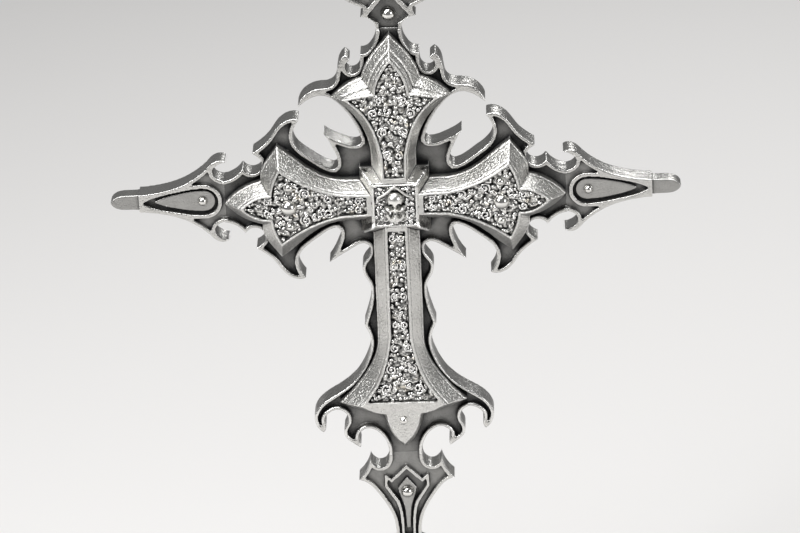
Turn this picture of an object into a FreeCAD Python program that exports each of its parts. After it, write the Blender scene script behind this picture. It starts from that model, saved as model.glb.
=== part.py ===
import FreeCAD, Part
import math
import os

# Processional cross head. Millimetres, +Z up, front faces -Y.
# The origin is the centre of the socket's mouth, where the staff goes in along the Z axis.

Vector = FreeCAD.Vector
document = FreeCAD.newDocument("processional_cross")

# ---------------------------------------------------------------- driving dimensions

driving_dimensions = [
    # overall sizes
    ("side_reach", 172.5, "crossing centre to the tip of a side arm"),
    ("top_reach", 170, "crossing centre to the point of the spear"),
    ("foot_reach", 232, "crossing centre to the end of the foot"),
    # depth of the castings: levels are measured forward from the back face
    ("back_face", 8, "back face of the castings behind the staff axis"),
    ("field_level", 12.5, "sunken field of the backing"),
    ("rim_level", 16.5, "raised rim of the arms"),
    ("terminal_rim_level", 15.5, "raised rim of the terminals"),
    ("terminal_floor_level", 11, "floor of the recess in a terminal"),
    ("insert_level", 13.2, "face of the inserts in the terminals"),
    ("skirt_level", 19, "foot of the bevels on the overlays"),
    ("ridge_level", 31, "ridge of the overlays"),
    ("inlay_seat_level", 26.5, "floor under the filigree inlays"),
    ("inlay_level", 28.6, "face of the filigree inlays"),
    ("rim_width", 2.1, "width of a raised rim"),
    ("ridge_width", 1.2, "width of the ridge round an inlay"),
    ("inlay_gap", 0.15, "gap round an inlay or an insert"),
    # crossing block
    ("block_base_half", 21, "half width of the crossing block at its foot"),
    ("block_top_half", 14, "half width of the crossing block at its top"),
    # core and rear straps
    ("core_width", 10, "width of the core bars"),
    ("core_thickness", 5, "thickness of the core bars"),
    ("core_gap", 0.1, "gap round a core bar in its channel"),
    ("strap_thickness", 2, "thickness of the rear straps"),
    ("screw_radius", 2, "radius of a rear screw"),
    ("screw_head_radius", 3.8, "radius of a rear screw's head"),
    ("screw_reach_level", 24, "level that the rear screws reach"),
    ("hole_gap", 0.05, "radial gap of a screw or rivet in its hole"),
    # beads and rivets
    ("arm_bead_radius", 4.8, "large bead on a side arm"),
    ("small_bead_radius", 2.5, "small bead on a side arm"),
    ("side_rivet_radius", 2.7, "head of a side terminal's rivet"),
    ("top_rivet_radius", 4.2, "head of the top terminal's rivet"),
    ("foot_rivet_radius", 3.7, "head of the foot terminal's rivet"),
    ("rivet_shank_radius", 1.4, "shank of a rivet or bead"),
    # staff socket
    ("staff_diameter", 28, "wooden staff"),
    ("staff_clearance", 0.3, "radial clearance of the staff in its socket"),
    ("socket_wall", 2.5, "wall of the socket"),
    ("socket_depth", 60, "depth of the socket's bore"),
    ("socket_head", 14, "solid head above the bore"),
    ("mouth_ring_height", 8, "height of the ring at the mouth"),
    ("mouth_ring_wall", 2.7, "thickness of the ring at the mouth"),
    # knop and tang
    ("tang_radius", 5, "round tang through the knop"),
    ("tang_gap", 0.1, "radial gap round the tang"),
    ("collar_height", 8, "collar between socket and knop"),
    ("knop_radius", 28, "knop at its equator"),
    ("knop_half_height", 22, "knop from its equator to a collar"),
    ("knop_wall", 2, "wall of the knop"),
    ("foot_collar_radius", 14, "collar under the foot"),
    ("foot_collar_height", 12, "collar under the foot"),
    ("band_width", 6, "band round the knop"),
    ("band_thickness", 1.9, "thickness of the band round the knop"),
    ("boss_radius", 5.5, "boss on the knop's band"),
    ("boss_proud", 3.5, "how far a boss stands off the band"),
    # staff clamp
    ("clamp_height", 34, "clamp screw above the socket's mouth"),
    ("clamp_boss_radius", 8, "boss that the clamp screw runs in"),
    ("clamp_boss_length", 8.2, "how far that boss stands off the socket"),
    ("clamp_screw_radius", 2.95, "clamp screw"),
    ("clamp_screw_gap", 0.08, "radial running clearance of the clamp screw"),
    ("pad_radius", 5, "clamp pad"),
    ("pad_thickness", 3.4, "clamp pad"),
    ("pad_travel", 3, "how far the pad can move in"),
]

sheet = document.addObject("Spreadsheet::Sheet", "sizes")
for row, (alias, amount, note) in enumerate(driving_dimensions, start=1):
    sheet.set(f"A{row}", note)
    sheet.set(f"B{row}", str(amount))
    sheet.setAlias(f"B{row}", alias)
document.recompute()


class Sizes:
    """The sheet's values, read by alias."""

    def __getattr__(self, alias):
        return float(sheet.get(alias))


size = Sizes()


def add_up(*aliases):
    """An expression that adds up values of the sheet."""
    return " + ".join("sizes." + alias for alias in aliases)


socket_top = add_up("socket_depth", "socket_head")
knop_foot = add_up("socket_depth", "socket_head", "collar_height")
knop_middle = knop_foot + " + sizes.knop_half_height"
knop_top = knop_foot + " + 2 * sizes.knop_half_height"
foot_end = knop_top + " + sizes.foot_collar_height"
crossing_height = foot_end + " + sizes.foot_reach"

# ---------------------------------------------------------------- building blocks

along_y = (Vector(1, 0, 0), 90)         # turns a cylinder's axis from +Z to -Y
along_x = (Vector(0, 1, 0), 90)         # turns a cylinder's axis from +Z to +X


def add(kind, name, at=(0, 0, 0), turn=None, **measures):
    """An object whose measures and place are expressions on the sheet."""
    item = document.addObject(kind, name)
    if turn:
        item.Placement = FreeCAD.Placement(Vector(), FreeCAD.Rotation(*turn))
    for axis, place in zip("xyz", at):
        item.setExpression("Placement.Base." + axis, str(place))
    for measure, amount in measures.items():
        item.setExpression(measure, str(amount))
    return item


def fuse(name, *items):
    result = document.addObject("Part::MultiFuse", name)
    result.Shapes = list(items)
    return result


def group(name, *items):
    """Several solids kept apart in one piece."""
    result = document.addObject("Part::Compound", name)
    result.Links = list(items)
    return result


def cut(name, base, *tools):
    result = document.addObject("Part::Cut", name)
    result.Base = base
    result.Tool = tools[0] if len(tools) == 1 else fuse(name + "_tools", *tools)
    return result


def common(name, first, second):
    result = document.addObject("Part::Common", name)
    result.Base = first
    result.Tool = second
    return result


def fixed_shape(name, shape):
    item = document.addObject("Part::Feature", name)
    item.Shape = shape
    return item


nodes = []


def node(item, label):
    """Marks a finished piece, which is written to a file of that name."""
    item.Label = label
    nodes.append(item)
    return item


# ---------------------------------------------------------------- arms and outlines
# An arm is drawn pointing along +X with its axis on Z = 0, as its upper half: a list of stretches of
# (distance along the arm, half width). Two points make a line, three an arc and more a smooth curve,
# and stretches meet at corners. The arm is then turned about Y into its place.

neck = 36.5                             # where three arms join the crossing casting
neck_half = 18.8
foot_neck = 34                          # the lower arm joins a little nearer
foot_neck_half = 16


class Arm:
    """One direction of the cross, with its stretch from the drawn to the real reach."""

    def __init__(self, name, turn, start, drawn_reach, reach):
        self.name = name
        self.turn = turn
        self.start = start
        self.factor = (getattr(size, reach) - start) / (drawn_reach - start)

    def along(self, distance):
        """Distance along the arm once it has its real reach."""
        if distance <= self.start:
            return distance
        return self.start + (distance - self.start) * self.factor

    def fit(self, half):
        """A half outline at the arm's real reach."""
        return [[(self.along(along), across) for along, across in stretch] for stretch in half]

    def place(self, item):
        """Turns a piece drawn along +X into this arm."""
        item.Placement = FreeCAD.Placement(Vector(), FreeCAD.Rotation(Vector(0, 1, 0), self.turn))
        item.setExpression("Placement.Base.z", crossing_height)
        return item


right = Arm("right", 0, neck, 172.5, "side_reach")
left = Arm("left", 180, neck, 172.5, "side_reach")
top = Arm("top", -90, neck, 170, "top_reach")
bottom = Arm("bottom", 90, foot_neck, 232, "foot_reach")
arms = [right, left, top, bottom]
sides = [right, left]


def kind(arm):
    return "side" if arm in sides else arm.name


def curve(points):
    spots = [Vector(along, 0, across) for along, across in points]
    if len(spots) == 2:
        return Part.makeLine(*spots)
    if len(spots) == 3:
        return Part.Arc(*spots).toShape()
    spline = Part.BSplineCurve()
    spline.interpolate(spots)
    return spline.toShape()


def both_halves(half):
    """The stretches of a closed outline, from those of its upper half."""
    lower = [[(along, -across) for along, across in reversed(stretch)] for stretch in reversed(half)]
    (first_along, first_across), (last_along, last_across) = half[0][0], half[-1][-1]
    end = [[(last_along, last_across), (last_along, -last_across)]] if last_across > 0 else []
    start = [[(first_along, -first_across), (first_along, first_across)]] if first_across > 0 else []
    return half + end + lower + start


def outline(half):
    return Part.Wire([curve(stretch) for stretch in both_halves(half)])


def region(half):
    return Part.Face(outline(half))


def rectangle(low_along, high_along, half_width):
    return region([[(low_along, half_width), (high_along, half_width)]])


def outline_points(area, spacing):
    """Points along an area's outline, a curve's about spacing apart and none closer than a tenth of it."""
    points = []
    for edge in area.OuterWire.OrderedEdges:
        count = 2 if isinstance(edge.Curve, Part.Line) else max(2, math.ceil(edge.Length / spacing) + 1)
        samples = edge.discretize(Number=count)
        if points and (samples[0] - points[-1]).Length > (samples[-1] - points[-1]).Length:
            samples.reverse()
        points += [spot for spot in samples
                   if not points or (spot - points[-1]).Length > spacing / 10]
    if (points[0] - points[-1]).Length <= spacing / 10:
        points.pop()
    return points


def inset(area, distance, spacing=1.2):
    """What is left of an area a given distance inside its outline, or outside it if negative."""
    points = outline_points(area, spacing)
    shrunk = Part.Face(Part.makePolygon(points + points[:1])).makeOffset2D(-distance, join=0)
    points = outline_points(max(shrunk.Faces, key=lambda part: part.Area), spacing)
    return Part.Face(Part.makePolygon(points + points[:1]))


def slab(name, area, low, high):
    """An area of the XZ plane, made solid between two levels."""
    block = document.addObject("Part::Extrusion", name)
    block.Base = fixed_shape(name + "_profile", area)
    block.DirMode = "Custom"
    block.Dir = Vector(0, -1, 0)
    block.Solid = True
    block.setExpression("LengthFwd", f"({high}) - ({low})")
    block.setExpression("Placement.Base.y", f"sizes.back_face - ({low})")
    return block


def stud(name, arm, distance, across, low, high, radius):
    """A round solid between two levels, drawn along +X like the arm."""
    return add("Part::Cylinder", name, turn=along_y, Radius=radius, Height=f"({high}) - ({low})",
               at=(arm.along(distance), f"sizes.back_face - ({low})", across))


field = "sizes.field_level"
rim = "sizes.rim_level"
terminal_rim = "sizes.terminal_rim_level"
ridge_top = "sizes.ridge_level"
inlay_seat = "sizes.inlay_seat_level"
inlay_face = "sizes.inlay_level"
strap_face = "sizes.strap_thickness"
core_face = "sizes.strap_thickness + sizes.core_thickness"
open_above = 1                          # how far a cutting solid runs past a face

# ---------------------------------------------------------------- beads and rivets

dome_cut = 15                           # latitude at which a bead's sphere is cut off, degrees
dome_overlap = 0.5                      # how far a shank runs into its dome
bead_shank = 7                          # length of a bead's shank under its seat
hole_end_gap = 0.4                      # room under the end of a shank
shank_hole = "sizes.rivet_shank_radius + sizes.hole_gap"


def bead(name, arm, distance, across, radius, seat, shank_low):
    """A domed head on a shank that runs back into the casting."""
    dome = add("Part::Sphere", name + "_dome", turn=along_y, Radius=radius, Angle1=dome_cut,
               at=(arm.along(distance), f"sizes.back_face - ({seat}) + {radius} * sin({dome_cut} deg)",
                   across))
    shank = stud(name + "_shank", arm, distance, across, shank_low, f"{seat} + {dome_overlap}",
                 "sizes.rivet_shank_radius")
    return [dome, shank]


large_bead = (64, 0)
small_beads = [(63.5, 12.5), (63.5, -12.5)]
tongue_bead = (141, 0)
rivet_spots = {"side": 116.5, "top": 115, "bottom": 197}
rivet_head = "sizes.rivet_shank_radius + 1"
rivet_head_height = 1

# ---------------------------------------------------------------- rear: straps, core and screws

screw_spots = {"side": [27, 88], "top": [27, 88], "bottom": [27, 80, 126]}
core_ends = {"side": 112, "top": 108, "bottom": 232}
screw_hole_end = f"sizes.screw_reach_level + {hole_end_gap}"
strap_mitre = 0.07                      # half of the gap where two straps meet at 45 degrees
strap_half = 10
strap_outlines = {
    "side": [[(strap_mitre, 0), (strap_half + strap_mitre, strap_half)],
             [(strap_half + strap_mitre, strap_half), (30, 10)],
             [(30, 10), (44, 10.4), (56, 12), (68, 15)], [(68, 15), (82, 9), (100, 6), (124, 5)]],
    "top": [[(strap_mitre, 0), (strap_half + strap_mitre, strap_half)],
            [(strap_half + strap_mitre, strap_half), (30, 10)],
            [(30, 10), (42, 10.4), (52, 11.8), (62, 14)], [(62, 14), (76, 8.5), (92, 5.8), (121, 5.2)]],
    "bottom": [[(strap_mitre, 0), (strap_half + strap_mitre, strap_half)],
               [(strap_half + strap_mitre, strap_half), (90, 10)],
               [(90, 10), (104, 10.6), (116, 12.6), (128, 16)],
               [(128, 16), (142, 10), (165, 7), (190, 6.3), (232, 6)]],
}


def screw_cuts(arm, high):
    """Clearance holes for the rear screws of an arm, up to a level."""
    return [stud(f"{arm.name}_screw_hole", arm, spot, 0, "0", high, "sizes.screw_radius + sizes.hole_gap")
            for spot in screw_spots[kind(arm)]]


def centre_screw_cut(name):
    return stud(name + "_centre_hole", right, 0, 0, "0", screw_hole_end,
                "sizes.screw_radius + sizes.hole_gap")


def rivet_cut(arm, high):
    return stud(f"{arm.name}_rivet_hole", arm, rivet_spots[kind(arm)], 0, "0", high, shank_hole)


def rear_cuts(arm):
    """What the castings of an arm lose at the back: strap seat, core channel and holes."""
    area = inset(region(arm.fit(strap_outlines[kind(arm)])), -size.core_gap)
    seat = slab(arm.name + "_strap_seat", area, "0", strap_face)
    half = size.core_width / 2 + size.core_gap
    channel = slab(arm.name + "_core_channel",
                   rectangle(-half, arm.along(core_ends[kind(arm)]) + size.core_gap, half),
                   strap_face, f"{core_face} + sizes.core_gap")
    holes = screw_cuts(arm, screw_hole_end)
    return fuse(arm.name + "_rear_cuts", seat, channel, rivet_cut(arm, terminal_rim), *holes)


rear = {arm.name: rear_cuts(arm) for arm in arms}


def strap(arm):
    """A rear cover strap with countersunk screw holes."""
    plate = slab(arm.name + "_strap_plate", region(arm.fit(strap_outlines[kind(arm)])), "0", strap_face)
    tools = screw_cuts(arm, strap_face) + [rivet_cut(arm, strap_face)]
    tools.append(stud(f"{arm.name}_rivet_seat", arm, rivet_spots[kind(arm)], 0, "0", rivet_head_height,
                      f"{rivet_head} + sizes.hole_gap"))
    spots = [arm.along(spot) for spot in screw_spots[kind(arm)]] + [0]
    for spot in spots:
        tools.append(add("Part::Cone", f"{arm.name}_countersink", turn=along_y,
                         Radius1="sizes.screw_head_radius + sizes.hole_gap",
                         Radius2="sizes.screw_radius + sizes.hole_gap", Height=strap_face,
                         at=(spot, "sizes.back_face", 0)))
    return node(arm.place(cut(arm.name + "_strap_cut", plate, *tools)), arm.name + "_strap")


straps = [strap(arm) for arm in arms]


def rear_screw(arm, distance):
    """A countersunk screw through strap, core and castings into the front layer."""
    head = add("Part::Cone", f"{arm.name}_screw_head", turn=along_y, Radius1="sizes.screw_head_radius",
               Radius2="sizes.screw_radius", Height=strap_face,
               at=(arm.along(distance), "sizes.back_face", 0))
    shank = stud(f"{arm.name}_screw_shank", arm, distance, 0, strap_face, "sizes.screw_reach_level",
                 "sizes.screw_radius")
    return arm.place(fuse(f"{arm.name}_screw", head, shank))


screws = [rear_screw(arm, spot) for arm in arms for spot in screw_spots[kind(arm)]]
screws.append(rear_screw(right, 0))
node(group("screws", *screws), "rear_screws")

core_half = "sizes.core_width / 2"
lap_half = "sizes.core_width / 2 + sizes.core_gap"
core_back_y = "sizes.back_face - sizes.strap_thickness"


def lap(name, back_level):
    """The square taken out of half the thickness of a core bar at the crossing."""
    return add("Part::Box", name, Length=f"2 * ({lap_half})", Width="sizes.core_thickness / 2",
               Height=f"2 * ({lap_half})",
               at=(f"-({lap_half})", f"{core_back_y} - {back_level} - sizes.core_thickness / 2",
                   f"-({lap_half})"))


side_core_end = right.along(core_ends["side"])
crossbar = add("Part::Box", "crossbar_blank", Length=2 * side_core_end, Width="sizes.core_thickness",
               Height="sizes.core_width",
               at=(-side_core_end, f"{core_back_y} - sizes.core_thickness", f"-{core_half}"))
crossbar_holes = [right.along(spot) * way for spot in screw_spots["side"] for way in (1, -1)] + [0]
crossbar_tools = [add("Part::Cylinder", "crossbar_hole", turn=along_y, Height="sizes.core_thickness + 2",
                      Radius="sizes.screw_radius + sizes.hole_gap", at=(spot, f"{core_back_y} + 1", 0))
                  for spot in crossbar_holes]
crossbar = cut("crossbar_cut", crossbar, lap("crossbar_lap", "0"), *crossbar_tools)
crossbar.setExpression("Placement.Base.z", crossing_height)
node(crossbar, "core_crossbar")

# the upright runs down into the collar under the foot, where the round tang grows out of it
top_core_end = top.along(core_ends["top"])
bar_foot = f"{foot_end} - 2 * sizes.foot_collar_height / 3"
upright_bar = add("Part::Box", "upright_bar", Length="sizes.core_width", Width="sizes.core_thickness",
                  Height=f"{top_core_end} + {crossing_height} - ({bar_foot})",
                  at=(f"-{core_half}", f"{core_back_y} - sizes.core_thickness", bar_foot))
tang_low = "sizes.socket_depth + 4"
tang = add("Part::Cylinder", "tang", Radius="sizes.tang_radius", Height=f"{foot_end} - ({tang_low})",
           at=(0, 0, tang_low))
upright_holes = [stud("upright_hole", top, spot, 0, "0", "sizes.screw_reach_level",
                      "sizes.screw_radius + sizes.hole_gap") for spot in screw_spots["top"] + [0]]
upright_tools = fuse("upright_top_tools", lap("upright_lap", "sizes.core_thickness / 2"), *upright_holes)
foot_holes = [stud("upright_foot_hole", bottom, spot, 0, "0", "sizes.screw_reach_level",
                   "sizes.screw_radius + sizes.hole_gap") for spot in screw_spots["bottom"]]
foot_holes.append(rivet_cut(bottom, field))
foot_tools = fuse("upright_foot_tools", *foot_holes)
pin_radius = 1.5
pin_height = "sizes.socket_depth + sizes.socket_head / 2 + 2"
pin_hole = add("Part::Cylinder", "pin_hole", turn=along_x, Radius=f"{pin_radius} + sizes.hole_gap",
               Height="sizes.staff_diameter * 2", at=("-sizes.staff_diameter", 0, pin_height))
upright = cut("upright_cut", fuse("upright_blank", upright_bar, tang),
              top.place(upright_tools), bottom.place(foot_tools), pin_hole)
node(upright, "core_upright")

# ---------------------------------------------------------------- seats of the front layer
# An overlay's foot stands on the field. Where it runs over a rim, the rim is cut away for it.

block_edge = size.block_top_half
overlay_feet = {
    "side": [
        [(block_edge, 13.25), (30, 13.25)],
        [(30, 13.25), (40, 15), (50, 20), (60, 28), (70, 35.7)],
        [(70, 35.7), (75.8, 28), (80, 20.5), (80.5, 14)],
        [(80.5, 14), (88, 11.5), (95.5, 7.2), (102.8, 0)],
    ],
    "top": [
        [(block_edge, 13.5), (30, 13.5)],
        [(30, 13.5), (40, 15.5), (50, 20), (59, 27.5), (66, 36)],
        [(66, 36), (72, 29.5), (76, 22.8), (78, 17.5)],
        [(78, 17.5), (86, 14.7), (94, 9.3), (104.5, 0)],
    ],
    "bottom": [
        [(block_edge, 14), (90, 14)],
        [(90, 14), (105, 17.2), (115, 23), (124.5, 30.5), (133, 39)],
        [(133, 39), (137, 30), (140.2, 21), (142, 12)],
        [(142, 12), (150, 9.8), (158, 5.8), (164, 0)],
    ],
}


def overlay_seat(arm):
    area = inset(region(arm.fit(overlay_feet[kind(arm)])), -size.inlay_gap)
    return slab(arm.name + "_overlay_seat", area, field, f"{rim} + {open_above}")


overlay_seats = {arm.name: overlay_seat(arm) for arm in arms}

# ---------------------------------------------------------------- backing layer

thorn = [(neck, neck_half), (34, 20.6), (33.6, 24.5), (35.3, 30), (38, 36), (43, 43)]
foot_thorn = [(16, -34), (17.2, -31), (20.5, -29.6), (24.8, -31), (30, -34.2), (36, -37.8), (43, -43)]
crossing_right = [                      # the crossing's right half, from its foot to its top
    foot_thorn,
    [(43, -43), (38, -36), (35.3, -30), (33.6, -24.5), (34, -20.6), (neck, -neck_half)],
    [(neck, -neck_half), (neck, neck_half)],
    thorn,
    [(up, along) for along, up in reversed(thorn)],
]
crossing_left = [[(-along, up) for along, up in reversed(stretch)] for stretch in reversed(crossing_right)]
crossing_edges = (crossing_right + [[(neck_half, neck), (-neck_half, neck)]] + crossing_left
                  + [[(-foot_neck_half, -foot_neck), (foot_neck_half, -foot_neck)]])
crossing_area = Part.Face(Part.Wire([curve(stretch) for stretch in crossing_edges]))


def mouth(name, arm, low, high, half_width, rim_expression):
    """Opens the field across a joint, where the rim stops."""
    return slab(name, rectangle(low, high, half_width - size.rim_width), field,
                f"{rim_expression} + {open_above}")


crossing_mouths = [
    mouth("crossing_side_mouth", right, -neck - open_above, neck + open_above, neck_half, rim),
    mouth("crossing_foot_mouth", bottom, 0, foot_neck + open_above, foot_neck_half, rim),
    mouth("crossing_top_mouth", top, 0, neck + open_above, neck_half, rim),
]
for item, arm in zip(crossing_mouths, [right, bottom, top]):
    item.Placement = FreeCAD.Placement(Vector(), FreeCAD.Rotation(Vector(0, 1, 0), arm.turn))
crossing_body = slab("crossing_body", crossing_area, "0", rim)
crossing_sunken = slab("crossing_sunken", inset(crossing_area, size.rim_width), field,
                       f"{rim} + {open_above}")
crossing_shaped = right.place(cut("crossing_shaped", crossing_body, crossing_sunken, *crossing_mouths))
centre_hole = right.place(group("crossing_centre_hole", centre_screw_cut("crossing")))
crossing = cut("crossing_cut", crossing_shaped, centre_hole,
               *[arm.place(group(arm.name + "_crossing_tools", rear[arm.name], overlay_seats[arm.name]))
                 for arm in arms])
node(crossing, "crossing_casting")

arm_end_half = {"side": 13.3, "top": 7.5, "bottom": 10.2}
arm_end = {"side": 103.5, "top": 106, "bottom": 171}
arm_outlines = {
    "side": [
        [(neck, neck_half), (41, 20.3), (47, 24.3), (52.5, 28.3), (58, 33.4), (60.4, 40), (59, 46.5),
         (56, 51)],
        [(56, 51), (60, 51.8), (65, 50.2), (69, 47), (75, 38.8), (80, 34.2), (85.5, 30.5)],
        [(85.5, 30.5), (82.3, 28.6), (79.6, 25), (80, 21), (83, 17.8), (87, 17.5), (91.5, 21)],
        [(91.5, 21), (94.5, 17.3), (99, 14.4), (103.5, 13.3)],
    ],
    "top": [
        [(neck, neck_half), (41, 19.8), (48, 22.8), (56, 27.8), (62.5, 33.8), (66, 41), (64.5, 48.5),
         (58.5, 56.5)],
        [(58.5, 56.5), (63.5, 54.6), (68, 50), (70.3, 44), (70.8, 38), (73, 34), (80, 31.8), (86, 30.6),
         (91, 27)],
        [(91, 27), (87.5, 24.4), (85.8, 26.3), (82, 26.7), (79.2, 23.6), (80.5, 19.6), (85.5, 17.6),
         (91.5, 17.5)],
        [(91.5, 17.5), (92.6, 13), (96, 10.2), (101, 8.1), (106, 7.5)],
    ],
    "bottom": [
        [(foot_neck, foot_neck_half), (38, 17.3), (42, 20.3), (47, 21.7)],
        [(47, 21.7), (52, 20), (57, 17.3), (66, 17.1), (75, 19.2), (83.5, 22)],
        [(83.5, 22), (88, 19.8), (94, 18.4), (101, 19.2), (109, 22.2), (118, 27.6), (128, 39.4),
         (137, 51.8), (145.5, 55.3), (151, 53.4), (154.5, 50)],
        [(154.5, 50), (150.5, 48.4), (145.4, 49.1), (141, 45.6), (139.4, 40.5), (142, 35.8),
         (147.5, 34.6), (153, 37.2), (157, 37), (161.5, 33), (165.5, 28)],
        [(165.5, 28), (162.5, 27.2), (158.4, 28.7), (154.2, 26.6), (152.4, 22), (154.5, 17), (160, 12.4),
         (171, 10.2)],
    ],
}


def arm_casting(arm):
    """A backing casting: a slab with a raised rim round a sunken field, open at both joints."""
    half = arm.fit(arm_outlines[kind(arm)])
    end, end_half = arm.along(arm_end[kind(arm)]), arm_end_half[kind(arm)]
    area = region(half)
    body = slab(arm.name + "_arm_body", area, "0", rim)
    sunken = slab(arm.name + "_arm_sunken", inset(area, size.rim_width), field, f"{rim} + {open_above}")
    start, start_half = half[0][0]
    mouths = [mouth(arm.name + "_arm_start", arm, start - open_above, start + 6, start_half, rim),
              mouth(arm.name + "_arm_end", arm, end - 6, end + open_above, end_half, rim)]
    shaped = cut(arm.name + "_arm_cut", body, sunken, *mouths, rear[arm.name], overlay_seats[arm.name])
    return node(arm.place(shaped), arm.name + "_arm_casting")


for arm in arms:
    arm_casting(arm)

# ---------------------------------------------------------------- terminals
# Each has its outline, its raised frame inside that, and the recess inside the frame.

tip_start = 155
peg_radius = 2
peg_y = "sizes.back_face - 7.5"         # the peg's axis lies at level 7.5
terminal_outlines = {
    "side": [
        [(103.5, 13.3), (107.6, 14.9), (110, 18.6), (107.6, 22.6), (101, 24.5)],
        [(101, 24.5), (104.4, 26.2), (108.5, 25.5), (113, 21.5), (119, 16.4), (127, 11.7), (138, 7.9),
         (tip_start, 5.5)],
    ],
    "top": [
        [(106, 7.5), (109, 7.9), (112, 9.8), (113.8, 13), (114.5, 16.5)],
        [(114.5, 16.5), (117, 14.9), (120, 14.6)],
        [(120, 14.6), (122.5, 20), (127, 28), (133.5, 34.5), (141, 38)],
        [(141, 38), (138, 31), (135.7, 24), (135.6, 16), (139, 9)],
        [(139, 9), (144, 10.2), (150, 9.6), (158, 5.6), (170, 0)],
    ],
    "bottom": [
        [(171, 10.2), (175, 10.6), (178.6, 12.8), (179.8, 16), (178.3, 19.6), (174.5, 22)],
        [(174.5, 22), (179, 23.4), (183.5, 26), (187.5, 29.8)],
        [(187.5, 29.8), (190.5, 23.6), (197, 18), (205, 13), (213, 9.4), (222, 7.9), (232, 7.5)],
    ],
}
frame_outlines = {
    "side": [[(104.6, 0), (107.8, 7.7), (115.5, 10.9)],
             [(115.5, 10.9), (124, 10.4), (132, 8.9), (142, 6.8), (tip_start, 3.4)]],
    "top": [[(98, 12), (114.5, 16.5)], [(114.5, 16.5), (133.5, 0)]],
    "bottom": [[(178.6, 0), (187.6, 9.5)], [(187.6, 9.5), (184.6, 13.5)], [(184.6, 13.5), (192.6, 14)],
               [(192.6, 14), (203.6, 7)], [(203.6, 7), (213.6, 4.8), (222, 4.4), (229, 4.2)]],
}
recess_outlines = {
    "side": [[(107, 0), (109.49, 6.01), (115.5, 8.5)],
             [(115.5, 8.5), (124, 8), (132, 6.5), (142, 4.4), (152.5, 0.5)]],
    "top": [[(104, 5.4), (110, 5.8)], [(110, 5.8), (114.7, 12.6)], [(114.7, 12.6), (129.4, 0)]],
    "bottom": [[(181.2, 0), (190.3, 9.4)], [(190.3, 9.4), (187.6, 11.9)], [(187.6, 11.9), (191.8, 12.2)],
               [(191.8, 12.2), (202.6, 5.2)], [(202.6, 5.2), (213.6, 3), (222, 2.6), (227.4, 2.4)]],
}
insert_outlines = {
    "side": [[(109, 0), (110.9, 4.6), (115.5, 6.5)],
             [(115.5, 6.5), (124, 6), (132, 4.6), (139, 2.9), (145.5, 0.4)]],
    "bottom": [[(187.4, 0), (194.6, 5.6)], [(194.6, 5.6), (199, 4.8), (206, 2.6), (214, 1.6), (222, 1.2)]],
}


def terminal(arm):
    """A terminal casting: rim, field, raised frame and recess."""
    form = kind(arm)
    half = arm.fit(terminal_outlines[form])
    area = region(half)
    frame = region(arm.fit(frame_outlines[form]))
    sunken_area = inset(area, size.rim_width)
    if form != "top":
        start, start_half = half[0][0]
        opening = rectangle(start - open_above, start + 7, start_half - size.rim_width)
        sunken_area = sunken_area.fuse(opening).removeSplitter()
    pieces = sunken_area.cut(frame).Faces
    tools = [slab(f"{arm.name}_terminal_field", piece, field, f"{terminal_rim} + {open_above}")
             for piece in pieces if piece.Area > 6]
    tools.append(slab(arm.name + "_terminal_recess", region(arm.fit(recess_outlines[form])),
                      "sizes.terminal_floor_level", f"{terminal_rim} + {open_above}"))
    if form == "side":
        tools.append(add("Part::Cylinder", arm.name + "_peg_hole", turn=along_x,
                         Radius=f"{peg_radius} + sizes.hole_gap", Height=10,
                         at=(arm.along(tip_start) - 7.5, peg_y, 0)))
    body = slab(arm.name + "_terminal_body", area, "0", terminal_rim)
    shaped = cut(arm.name + "_terminal_cut", body, *tools, rear[arm.name])
    return node(arm.place(shaped), arm.name + "_terminal")


for arm in arms:
    terminal(arm)


def tip(arm):
    """A small point let into the end of a side terminal with a peg."""
    outline_half = [[(tip_start, 4.9), (163, 4.5), (169.5, 3.2), (172.5, 0)]]
    point = slab(arm.name + "_tip_point", region(arm.fit(outline_half)), "2",
                 "sizes.terminal_rim_level - 2.5")
    peg = add("Part::Cylinder", arm.name + "_tip_peg", turn=along_x, Radius=peg_radius, Height=8,
              at=(arm.along(tip_start) - 7, peg_y, 0))
    return node(arm.place(fuse(arm.name + "_tip_whole", point, peg)), arm.name + "_tip")


def insert(arm):
    """The raised plate in a terminal's recess."""
    area = region(arm.fit(insert_outlines[kind(arm)]))
    plate = slab(arm.name + "_insert_plate", area, "sizes.terminal_floor_level", "sizes.insert_level")
    pierced = cut(arm.name + "_insert_cut", plate, rivet_cut(arm, terminal_rim))
    return node(arm.place(pierced), arm.name + "_insert")


for arm in sides:
    tip(arm)
for arm in sides + [bottom]:
    insert(arm)


def rivet(arm, radius, seat):
    """A domed rivet through a terminal, with a flat head let into the strap."""
    parts = bead(arm.name + "_rivet", arm, rivet_spots[kind(arm)], 0, radius, seat, "0")
    parts.append(stud(arm.name + "_rivet_tail", arm, rivet_spots[kind(arm)], 0, "0", rivet_head_height,
                      rivet_head))
    return arm.place(fuse(arm.name + "_rivet_whole", *parts))


node(group("side_rivets_group", *[rivet(arm, "sizes.side_rivet_radius", "sizes.insert_level")
                                  for arm in sides]), "side_rivets")
node(rivet(top, "sizes.top_rivet_radius", "sizes.terminal_floor_level"), "top_rivet")
node(rivet(bottom, "sizes.foot_rivet_radius", "sizes.insert_level"), "foot_rivet")

# ---------------------------------------------------------------- front layer
# Each overlay rises straight to its skirt and then slopes in to its ridge. The foot and the ridge of
# the slope are drawn with the same stretches, and ruled faces join them.

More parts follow.
